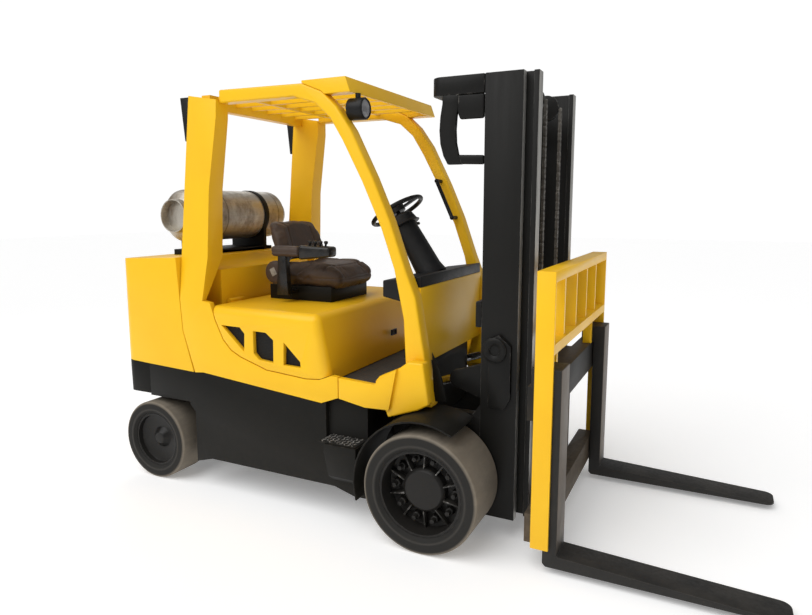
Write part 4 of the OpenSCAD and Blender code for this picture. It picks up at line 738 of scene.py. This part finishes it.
# Lift and tilt cylinders' rods. Hard chrome bars, faintly streaked along their length, slide in
# barrels in black enamel.
chrome_rod = finish("chrome_rod", Metallic=1.0)
rod_streaks = speckle(chrome_rod, object_place(chrome_rod, (1.0, 1.0, 0.05)), 90.0, 5.0)
wire(chrome_rod, ramp(chrome_rod, rod_streaks, (0.3, grey(0.62)), (0.7, grey(0.80))), "Base Color")
roughen(chrome_rod, rod_streaks, 0.10, 0.24)
dress(chrome_rod, "lift_rods", "tilt_rods")
soften(0.0, "lift_rods", "tilt_rods")
dress(black_enamel, "tilt_barrels")
soften(0.002, "tilt_barrels")

# Mast yoke and ties. A rounded beam wraps the tops of the outer rails from behind on cheek plates,
# a bent strap drops from it to the rail on each side, and two flat ties join the rails below.
YOKE_BACK, RAIL_BACK = 0.153, 0.416
YOKE_WIDTH, YOKE_HEIGHT, YOKE_Z = 0.816, 0.084, 2.108
HOLLOW_PLACE, HOLLOW_SIZE = (0.417, 0.0, YOKE_Z), (0.40, 0.764, 0.20)
CHEEK_X, CHEEK_Y, CHEEK_Z, CHEEK_SIZE = 0.335, 0.394, 2.012, (0.160, 0.019, 0.110)
STRAP_X, STRAP_Z, STRAP_SIZE = 0.252, 2.050, (0.080, 0.024, 0.036)
STRAP_BEND = (
    (-0.010, -0.060, 1.0), (-0.004, -0.060, 1.0), (0.004, -0.060, 0.98),
    (0.014, -0.055, 0.96), (0.020, -0.040, 0.94),
)
TOE_Z, TOE_SIZE = 1.775, (0.160, 0.019, 0.042)
TIE_X, TIE_SIZE, TIE_LOWS = 0.402, (0.028, 0.812, 0.120), (0.150, 1.010)
yoke = block("mast_yoke", (RAIL_BACK - YOKE_BACK, YOKE_WIDTH, YOKE_HEIGHT),
             ((YOKE_BACK + RAIL_BACK) / 2.0, 0.0, YOKE_Z))
bpy.ops.object.mode_set(mode="EDIT")
bpy.ops.mesh.select_mode(type="EDGE")
bpy.ops.mesh.select_all(action="DESELECT")
bpy.ops.object.mode_set(mode="OBJECT")
for edge in yoke.data.edges:
    first, second = (yoke.data.vertices[index].co for index in edge.vertices)
    edge.select = abs(first.z - second.z) > 0.05 and first.x < 0.2
bpy.ops.object.mode_set(mode="EDIT")
bpy.ops.mesh.bevel(offset=0.050, segments=6, affect="EDGES")
bpy.ops.object.mode_set(mode="OBJECT")
hollow = block("yoke_hollow", HOLLOW_SIZE, HOLLOW_PLACE)
edit(hollow, facing(x=-1.0), subdivide(1))
cut = yoke.modifiers.new("cut", "BOOLEAN")
cut.object = hollow
cut.operation = "DIFFERENCE"
bpy.context.view_layer.objects.active = yoke
bpy.ops.object.modifier_apply(modifier="cut")
bpy.data.objects.remove(hollow)
chamfer(yoke, 0.006)
yoke_parts = [yoke]
for side in (-1, 1):
    cheek = block("yoke_cheek", CHEEK_SIZE, (CHEEK_X, side * CHEEK_Y, CHEEK_Z))
    edit(cheek, facing(z=-1.0), resize(0.72, 1.0, 1.0), shift(0.020, 0.0, 0.0))
    chamfer(cheek, 0.010, 3)
    strap = block("yoke_strap", STRAP_SIZE, (STRAP_X, side * CHEEK_Y, STRAP_Z))
    for along_x, down_z, taper in STRAP_BEND:
        low = min(vertex.co.z for vertex in strap.data.vertices)
        edit(strap, lambda face, low=low: face.normal.z < -0.8 and face.center.z < low + 0.004,
             extrude(along_x, 0.0, down_z), resize(taper, 1.0, 1.0))
    toe = block("strap_toe", TOE_SIZE, (CHEEK_X, side * CHEEK_Y, TOE_Z))
    edit(toe, facing(x=-1.0), shift(0.0, 0.0, 0.006))
    chamfer(strap, 0.004)
    chamfer(toe, 0.008, 3)
    yoke_parts += [cheek, strap, toe]
for low in TIE_LOWS:
    tie = block("rail_tie", TIE_SIZE, (TIE_X, 0.0, low + TIE_SIZE[2] / 2.0))
    edit(tie, facing(x=-1.0), inset(0.018, -0.004))
    chamfer(tie, 0.003)
    yoke_parts.append(tie)
yoke = join(yoke_parts)
yoke.name = "mast_yoke"
settle(yoke, mast_enamel, "mast_outer", 35.0)
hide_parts("mast_outer_ties")

# Mast eyes. A round forged eye with a stepped, hollow face stands on each hanger's side hook,
# painted with the mast and rubbed along its rims.
EYE_RADIUS, EYE_THICK = 0.058, 0.010
EYE_X, EYE_Y, EYE_Z = 0.492, 0.436, 0.915
for side, name in ((-1, "right"), (1, "left")):
    eye = round_bar("mast_eye_" + name, 40, EYE_RADIUS, EYE_THICK, (EYE_X, side * EYE_Y, EYE_Z),
                    (-side * math.pi / 2.0, 0.0, 0.0))
    edit(eye, facing(y=side), inset(0.012, 0.004), inset(0.020, -0.006), inset(0.004, -0.010))
    chamfer(eye, 0.0015)
    settle(eye, mast_enamel, "mast_outer", 40.0)

# Lift chains. Leaf chain of stamped plates on pins, one run each side in front of the sheave down to
# the carriage and one behind it down to its anchor; the links of each run are spaced evenly between its two
# ends.
CHAIN_Y, CHAIN_TOP = 0.150, 2.058
LINK_SIZE, LINK_START = (0.0130, 0.0030, 0.0370), 0.020
OUTER_LINKS, INNER_LINKS = (-0.012, -0.004, 0.004, 0.012), (-0.008, 0.0, 0.008)
PIN_RADIUS, PIN_LENGTH, PIN_START = 0.0034, 0.027, 0.0075
LINK_PAIR, CHAIN_ENDS = 0.050, 0.014
chain_steel = enamel("chain_steel", (0.05, 0.045, 0.038), (0.09, 0.08, 0.066), 0.42,
                     (0.35, 0.33, 0.30), 0.8, reflect=0.5, coat=0.0, dust_share=0.2)


def leaf_chain(name, x, low, high):
    links = []
    count = round((high - low) / LINK_PAIR)
    pitch = (high - low - CHAIN_ENDS) / (2.0 * count)
    for offset, row in ((0.0, OUTER_LINKS), (pitch, INNER_LINKS)):
        for y in row:
            link = block("chain_plate", LINK_SIZE, (x, y, low + LINK_START + offset))
            edit(link, lambda face: abs(face.normal.z) > 0.9, inset(0.0008, 0.0004))
            links.append(link)
        pin = round_bar("chain_pin", 10, PIN_RADIUS, PIN_LENGTH, (x, 0.0, low + PIN_START + offset),
                        (math.pi / 2.0, 0.0, 0.0))
        edit(pin, lambda face: abs(face.normal.y) > 0.9, inset(0.0008, 0.0005))
        links.append(pin)
    run = join(links)
    rows = run.modifiers.new("rows", "ARRAY")
    rows.use_relative_offset = False
    rows.use_constant_offset = True
    rows.constant_offset_displace = (0.0, 0.0, 2.0 * pitch)
    rows.count = count
    bpy.ops.object.modifier_apply(modifier="rows")
    run.name = name
    unturned = (0.0, 0.0, 0.0)
    return copies(run, [((0.0, -CHAIN_Y, 0.0), unturned), ((0.0, CHAIN_Y, 0.0), unturned)])


def chain_finish(run, replaced):
    bpy.ops.object.transform_apply(location=True, rotation=True, scale=True)
    bpy.ops.object.shade_smooth_by_angle(angle=math.radians(35.0))
    run.data.materials.clear()
    run.data.materials.append(chain_steel)
    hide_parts(replaced)
    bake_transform(run)


front_run = leaf_chain("lift_chains_front", 0.6252, 0.8125, CHAIN_TOP)
chain_finish(front_run, "chains_front")
rear_run = leaf_chain("lift_chains_rear", 0.4868, 0.5625, CHAIN_TOP)
chain_finish(rear_run, "chains_rear")

# Carriage, load backrest and forks. The carriage bars are dusty black plate, the backrest is bent
# flat bar in yellow enamel, and the forks are forged blades with their faces worn to brown steel.
carriage_enamel = enamel("carriage_enamel", (0.011, 0.0105, 0.0095), (0.022, 0.019, 0.015), 0.55,
                         (0.13, 0.115, 0.095), 0.7, reflect=0.22, coat=0.0, dust_share=0.85,
                         dust=(0.21, 0.155, 0.10))
dress(carriage_enamel, "carriage")
soften(0.003, "carriage")
dress(yellow_enamel, "load_backrest")
soften(0.003, "load_backrest")
SHANK_FROM, SHANK_TO = 0.09, 0.16
fork_steel = finish("fork_steel", Metallic=0.25, Specular_IOR_Level=0.35)
fork_place = object_place(fork_steel)
fork_grain = speckle(fork_steel, object_place(fork_steel, (1.0, 1.0, 0.25)), 55.0, 9.0, 0.7)
fork_blotch = speckle(fork_steel, fork_place, 6.0, 6.0, 0.6)
fork_front = times(fork_steel, span(fork_steel, outward(fork_steel, "X"), 0.4, 0.8),
                   span(fork_steel, along(fork_steel, fork_place, "Z"), SHANK_FROM, SHANK_TO))
fork_front = times(fork_steel, fork_front, span(fork_steel, fork_blotch, 0.25, 0.5, 0.55, 1.0))
fork_top = times(fork_steel, span(fork_steel, outward(fork_steel, "Z"), 0.6, 0.9),
                 span(fork_steel, fork_blotch, 0.42, 0.62, 0.0, 0.5))
fork_paint = mix(fork_steel, fork_blotch, (0.012, 0.0115, 0.011), (0.026, 0.024, 0.021))
fork_worn = mix(fork_steel, fork_grain, (0.085, 0.066, 0.050), (0.20, 0.165, 0.13))
fork_tone = mix(fork_steel, fork_front, fork_paint, fork_worn)
fork_tone = mix(fork_steel, times(fork_steel, fork_top, 0.5), fork_tone, (0.07, 0.06, 0.05))
fork_edge = times(fork_steel, worn_edges(fork_steel, 0.006),
                  span(fork_steel, fork_grain, 0.42, 0.6, 0.0, 0.8))
wire(fork_steel, mix(fork_steel, fork_edge, fork_tone, (0.24, 0.21, 0.18)), "Base Color")
roughen(fork_steel, fork_grain, 0.38, 0.62)
relief(fork_steel, fork_grain, 0.12, 0.003)
dress(fork_steel, "forks")
soften(0.004, "forks", segments=3)


# Seat. Brown vinyl over moulded foam: a deep cushion with a rolled front edge and a curved back with
# side bolsters, both sewn in panels, on a black steel base that is screwed to the hood.
def bevel(offset, segments):
    return bpy.ops.mesh.bevel, {"offset": offset, "segments": segments, "affect": "EDGES"}


FOAM_CELL, FOAM_CAP, FOAM_PRESSURE, FOAM_FRAMES = 0.006, 0.016, 4.0, 20


def stuff(pad):
    choose(pad)
    skin = pad.modifiers.new("skin", "REMESH")
    skin.mode = "VOXEL"
    skin.voxel_size = FOAM_CELL
    bpy.ops.object.modifier_apply(modifier="skin")
    rest = [vertex.co.copy() for vertex in pad.data.vertices]
    foam = pad.modifiers.new("foam", "CLOTH")
    foam.settings.use_pressure = True
    foam.settings.uniform_pressure_force = FOAM_PRESSURE
    foam.settings.effector_weights.gravity = 0.0
    foam.settings.tension_stiffness = 20.0
    foam.settings.compression_stiffness = 20.0
    foam.settings.bending_stiffness = 2.0
    for moment in range(1, FOAM_FRAMES + 1):
        bpy.context.scene.frame_set(moment)
    bpy.ops.object.modifier_apply(modifier="foam")
    bpy.context.scene.frame_set(1)
    for vertex, old in zip(pad.data.vertices, rest):
        move = vertex.co - old
        if move.length > FOAM_CAP:
            vertex.co = old + move * (FOAM_CAP / move.length)


def swell(value, low, high):
    share = min(max((value - low) / (high - low), 0.0), 1.0)
    return share * share * (3.0 - 2.0 * share)


def groove(distance, width):
    return math.exp(-(distance / width) ** 2)


vinyl = finish("brown_vinyl", Specular_IOR_Level=0.3)
vinyl_place = object_place(vinyl)
vinyl_grain = node(vinyl, "TexVoronoi", {"Vector": vinyl_place, "Scale": 420.0})
vinyl_tone = speckle(vinyl, vinyl_place, 9.0, 7.0, 0.6)
vinyl_dust = speckle(vinyl, vinyl_place, 30.0, 8.0, 0.7)
vinyl_colour = ramp(vinyl, vinyl_tone, (0.3, (0.040, 0.025, 0.018)), (0.75, (0.075, 0.051, 0.038)))
vinyl_up = span(vinyl, outward(vinyl, "Z"), 0.3, 1.0, 0.1, 0.6)
vinyl_rub = times(vinyl, vinyl_up, span(vinyl, vinyl_dust, 0.4, 0.7))
wire(vinyl, mix(vinyl, vinyl_rub, vinyl_colour, (0.14, 0.105, 0.08)), "Base Color")
roughen(vinyl, vinyl_tone, 0.42, 0.62)
relief(vinyl, vinyl_grain.outputs["Distance"], 0.14, 0.0012)


def upholstered(pad, shape, crease, node_name):
    for vertex in pad.data.vertices:
        shape(vertex.co)
    stuff(pad)
    relax = pad.modifiers.new("relax", "SMOOTH")
    relax.factor = 0.5
    relax.iterations = 4
    bpy.ops.object.modifier_apply(modifier="relax")
    normals = [vertex.normal.copy() for vertex in pad.data.vertices]
    for vertex, out in zip(pad.data.vertices, normals):
        vertex.co -= out * crease(vertex.co, out)
    finer = pad.modifiers.new("finer", "SUBSURF")
    finer.levels = 1
    finer.render_levels = 1
    bpy.ops.object.modifier_apply(modifier="finer")
    bpy.ops.object.shade_smooth()
    pad.data.materials.clear()
    pad.data.materials.append(vinyl)
    if node_name:
        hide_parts(node_name)
    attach(pad, "hood_lid")


CUSHION_LOW, CUSHION_TOP = 1.122, 1.226
CUSHION_X, CUSHION_LENGTH, CUSHION_WIDTH = -0.682, 0.438, 0.452
CUSHION_SEAM_Z, CUSHION_SEAM_Y, CUSHION_SEAM_X = 1.168, 0.135, -0.545
cushion = block("seat_cushion_pad", (CUSHION_LENGTH, CUSHION_WIDTH, CUSHION_TOP - CUSHION_LOW),
                (CUSHION_X, 0.0, (CUSHION_LOW + CUSHION_TOP) / 2.0))
edit(cushion, lambda face: abs(face.normal.z) < 0.5, bevel(0.036, 5))
edit(cushion, lambda face: True, subdivide(7))


def cushion_shape(place):
    top = swell(place.z, CUSHION_LOW, CUSHION_TOP)
    place.y *= 1.0 - 0.10 * swell(place.x, -0.60, -0.46) - 0.06 * swell(-place.x, 0.80, 0.90)
    place.z += top * (0.014 * swell(abs(place.y), 0.10, 0.20) - 0.030 * swell(place.x, -0.58, -0.46))
    place.x -= 0.018 * (abs(place.y) / 0.22) ** 2 * swell(place.x, -0.6, -0.46)


def cushion_crease(place, out):
    if out.z < 0.25:
        return 0.004 * groove(place.z - CUSHION_SEAM_Z, 0.004) if abs(out.z) < 0.4 else 0.0
    side = 0.007 * groove(abs(place.y) - CUSHION_SEAM_Y - 0.02 * swell(-place.x, 0.6, 0.9), 0.006)
    across = 0.006 * groove(place.x - CUSHION_SEAM_X + 0.5 * place.y ** 2, 0.006)
    return side + across


upholstered(cushion, cushion_shape, cushion_crease, "seat_cushion")

BACK_LOW, BACK_TOP = 1.245, 1.492
BACK_X, BACK_THICK, BACK_WIDTH = -0.868, 0.070, 0.440
BACK_SEAM_Y, UPPER_SMILE_Z, LOWER_SMILE_Z = 0.130, BACK_LOW + 0.062, BACK_LOW + 0.028
back = block("seat_back_pad", (BACK_THICK, BACK_WIDTH, BACK_TOP - BACK_LOW),
             (BACK_X, 0.0, (BACK_LOW + BACK_TOP) / 2.0))
edit(back, lambda face: abs(face.normal.x) < 0.5, bevel(0.024, 4))
edit(back, lambda face: True, subdivide(7))


def back_shape(place):
    rise = (place.z - BACK_LOW) / (BACK_TOP - BACK_LOW)
    place.y *= 1.0 - 0.13 * swell(rise, 0.55, 1.0)
    place.x += -0.083 * rise + 0.030 * swell(abs(place.y), 0.09, 0.21) * (1.0 - 0.5 * rise)
    place.z -= 0.020 * (place.y / 0.2) ** 2 * swell(rise, 0.6, 1.0)


def back_crease(place, out):
    if out.x < 0.3:
        return 0.0
    rise = (place.z - BACK_LOW) / (BACK_TOP - BACK_LOW)
    side = 0.006 * groove(abs(place.y) - BACK_SEAM_Y + 0.025 * rise, 0.006)
    inside = swell(0.135 - abs(place.y), 0.0, 0.03)
    smile = 0.009 * groove(place.z - (UPPER_SMILE_Z + 1.7 * place.y ** 2), 0.008)
    smile += 0.007 * groove(place.z - (LOWER_SMILE_Z + 1.3 * place.y ** 2), 0.008)
    return side + smile * inside


upholstered(back, back_shape, back_crease, "seat_back")
dress(black_enamel, "seat_base")
soften(0.003, "seat_base")

# Armrest. A padded brown arm on the seat's right carries a gloss black pod with four short levers;
# a flared bracket on a foot ties it to the seat base.
ARM_PLACE, ARM_SIZE, ARM_SEAM_Z = (-0.752, -0.300, 1.322), (0.186, 0.062, 0.058), 1.318
arm_pad = block("armrest_pad", ARM_SIZE, ARM_PLACE)
edit(arm_pad, lambda face: True, bevel(0.018, 4))
edit(arm_pad, lambda face: True, subdivide(3))
upholstered(arm_pad, lambda place: None,
            lambda place, out: 0.0035 * groove(place.z - ARM_SEAM_Z, 0.004) if abs(out.z) < 0.5 else 0.0,
            None)

POD_X, POD_Y, POD_Z, POD_SIZE = -0.560, -0.286, 1.318, (0.196, 0.096, 0.078)
LEVER_COUNT, LEVER_X, LEVER_STEP, LEVER_Z = 4, -0.610, 0.034, 1.360
LEVER_RADIUS, LEVER_LENGTH, LEVER_TILT = 0.006, 0.014, math.radians(12.0)
BRACKET_PLACE, BRACKET_SIZE = (-0.777, -0.300, 1.190), (0.050, 0.036, 0.222)
ARM_FOOT_PLACE, ARM_FOOT_SIZE = (-0.777, -0.252, 1.089), (0.050, 0.096, 0.020)
gloss_moulding = finish("gloss_moulding", Specular_IOR_Level=0.3, Coat_Weight=0.12, Coat_Roughness=0.12)
gloss_dust = speckle(gloss_moulding, object_place(gloss_moulding), 22.0, 8.0, 0.7)
gloss_tone = ramp(gloss_moulding, gloss_dust, (0.4, grey(0.006)), (0.8, (0.024, 0.021, 0.018)))
wire(gloss_moulding, gloss_tone, "Base Color")
roughen(gloss_moulding, gloss_dust, 0.22, 0.42)
pod = block("lever_pod", POD_SIZE, (POD_X, POD_Y, POD_Z))
edit(pod, facing(x=1.0), resize(1.0, 0.85, 0.7), shift(0.0, 0.0, 0.008))
edit(pod, lambda face: True, bevel(0.014, 3))
edit(pod, lambda face: face.normal.z > 0.97 and face.area > 0.004, inset(0.010), inset(0.003, -0.006))
levers = []
for index in range(LEVER_COUNT):
    lever = round_bar("lever", 16, LEVER_RADIUS, LEVER_LENGTH,
                      (LEVER_X + index * LEVER_STEP, POD_Y, LEVER_Z), (0.0, LEVER_TILT, 0.0))
    edit(lever, facing(z=1.0, least=0.8), extrude(0.0, 0.0, 0.003), resize(1.9, 1.9, 1.0),
         extrude(0.001, 0.0, 0.010), inset(0.004, 0.003))
    chamfer(lever, 0.0015)
    levers.append(lever)
bracket = block("arm_bracket", BRACKET_SIZE, BRACKET_PLACE)
edit(bracket, facing(z=-1.0), resize(1.5, 1.0, 1.0))
edit(bracket, facing(y=1.0), inset(0.006))
arm_foot = block("arm_foot", ARM_FOOT_SIZE, ARM_FOOT_PLACE)
edit(arm_foot, facing(z=1.0), inset(0.006, 0.002))
arm = join([pod, *levers, bracket, arm_foot])
chamfer(arm, 0.003)
arm.name = "armrest_pod"
settle(arm, gloss_moulding, "hood_lid")
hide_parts("armrest")

# Hip cover. A rounded brown moulding closes the recliner hinge at the seat's right rear, with a small
# bare pale patch on it.
HIP_RADIUS, HIP_THICK, HIP_PLACE = 0.066, 0.020, (-0.868, -0.252, 1.196)
PATCH_PLACE, PATCH_SIZE, PATCH_LEAN = (-0.872, -0.2715, 1.200), (0.034, 0.002, 0.044), math.radians(-28.0)
hip = round_bar("hip_cover", 32, HIP_RADIUS, HIP_THICK, HIP_PLACE, (math.pi / 2.0, 0.0, 0.0))
edit(hip, facing(y=-1.0), inset(0.008, 0.006), inset(0.014, 0.003))
chamfer(hip, 0.004, 3)
vinyl_moulding = vinyl.copy()
vinyl_moulding.name = "brown_moulding"
settle(hip, vinyl_moulding, "hood_lid", 40.0)
patch_finish = finish("pale_patch", Roughness=0.5)
patch_wear = speckle(patch_finish, object_place(patch_finish), 60.0, 6.0)
patch_tone = ramp(patch_finish, patch_wear, (0.35, (0.20, 0.18, 0.15)), (0.7, (0.36, 0.33, 0.28)))
wire(patch_finish, patch_tone, "Base Color")
patch = block("bare_patch", PATCH_SIZE, PATCH_PLACE, (0.0, PATCH_LEAN, 0.0))
edit(patch, facing(y=-1.0), inset(0.002, 0.0006))
settle(patch, patch_finish, "hood_lid")
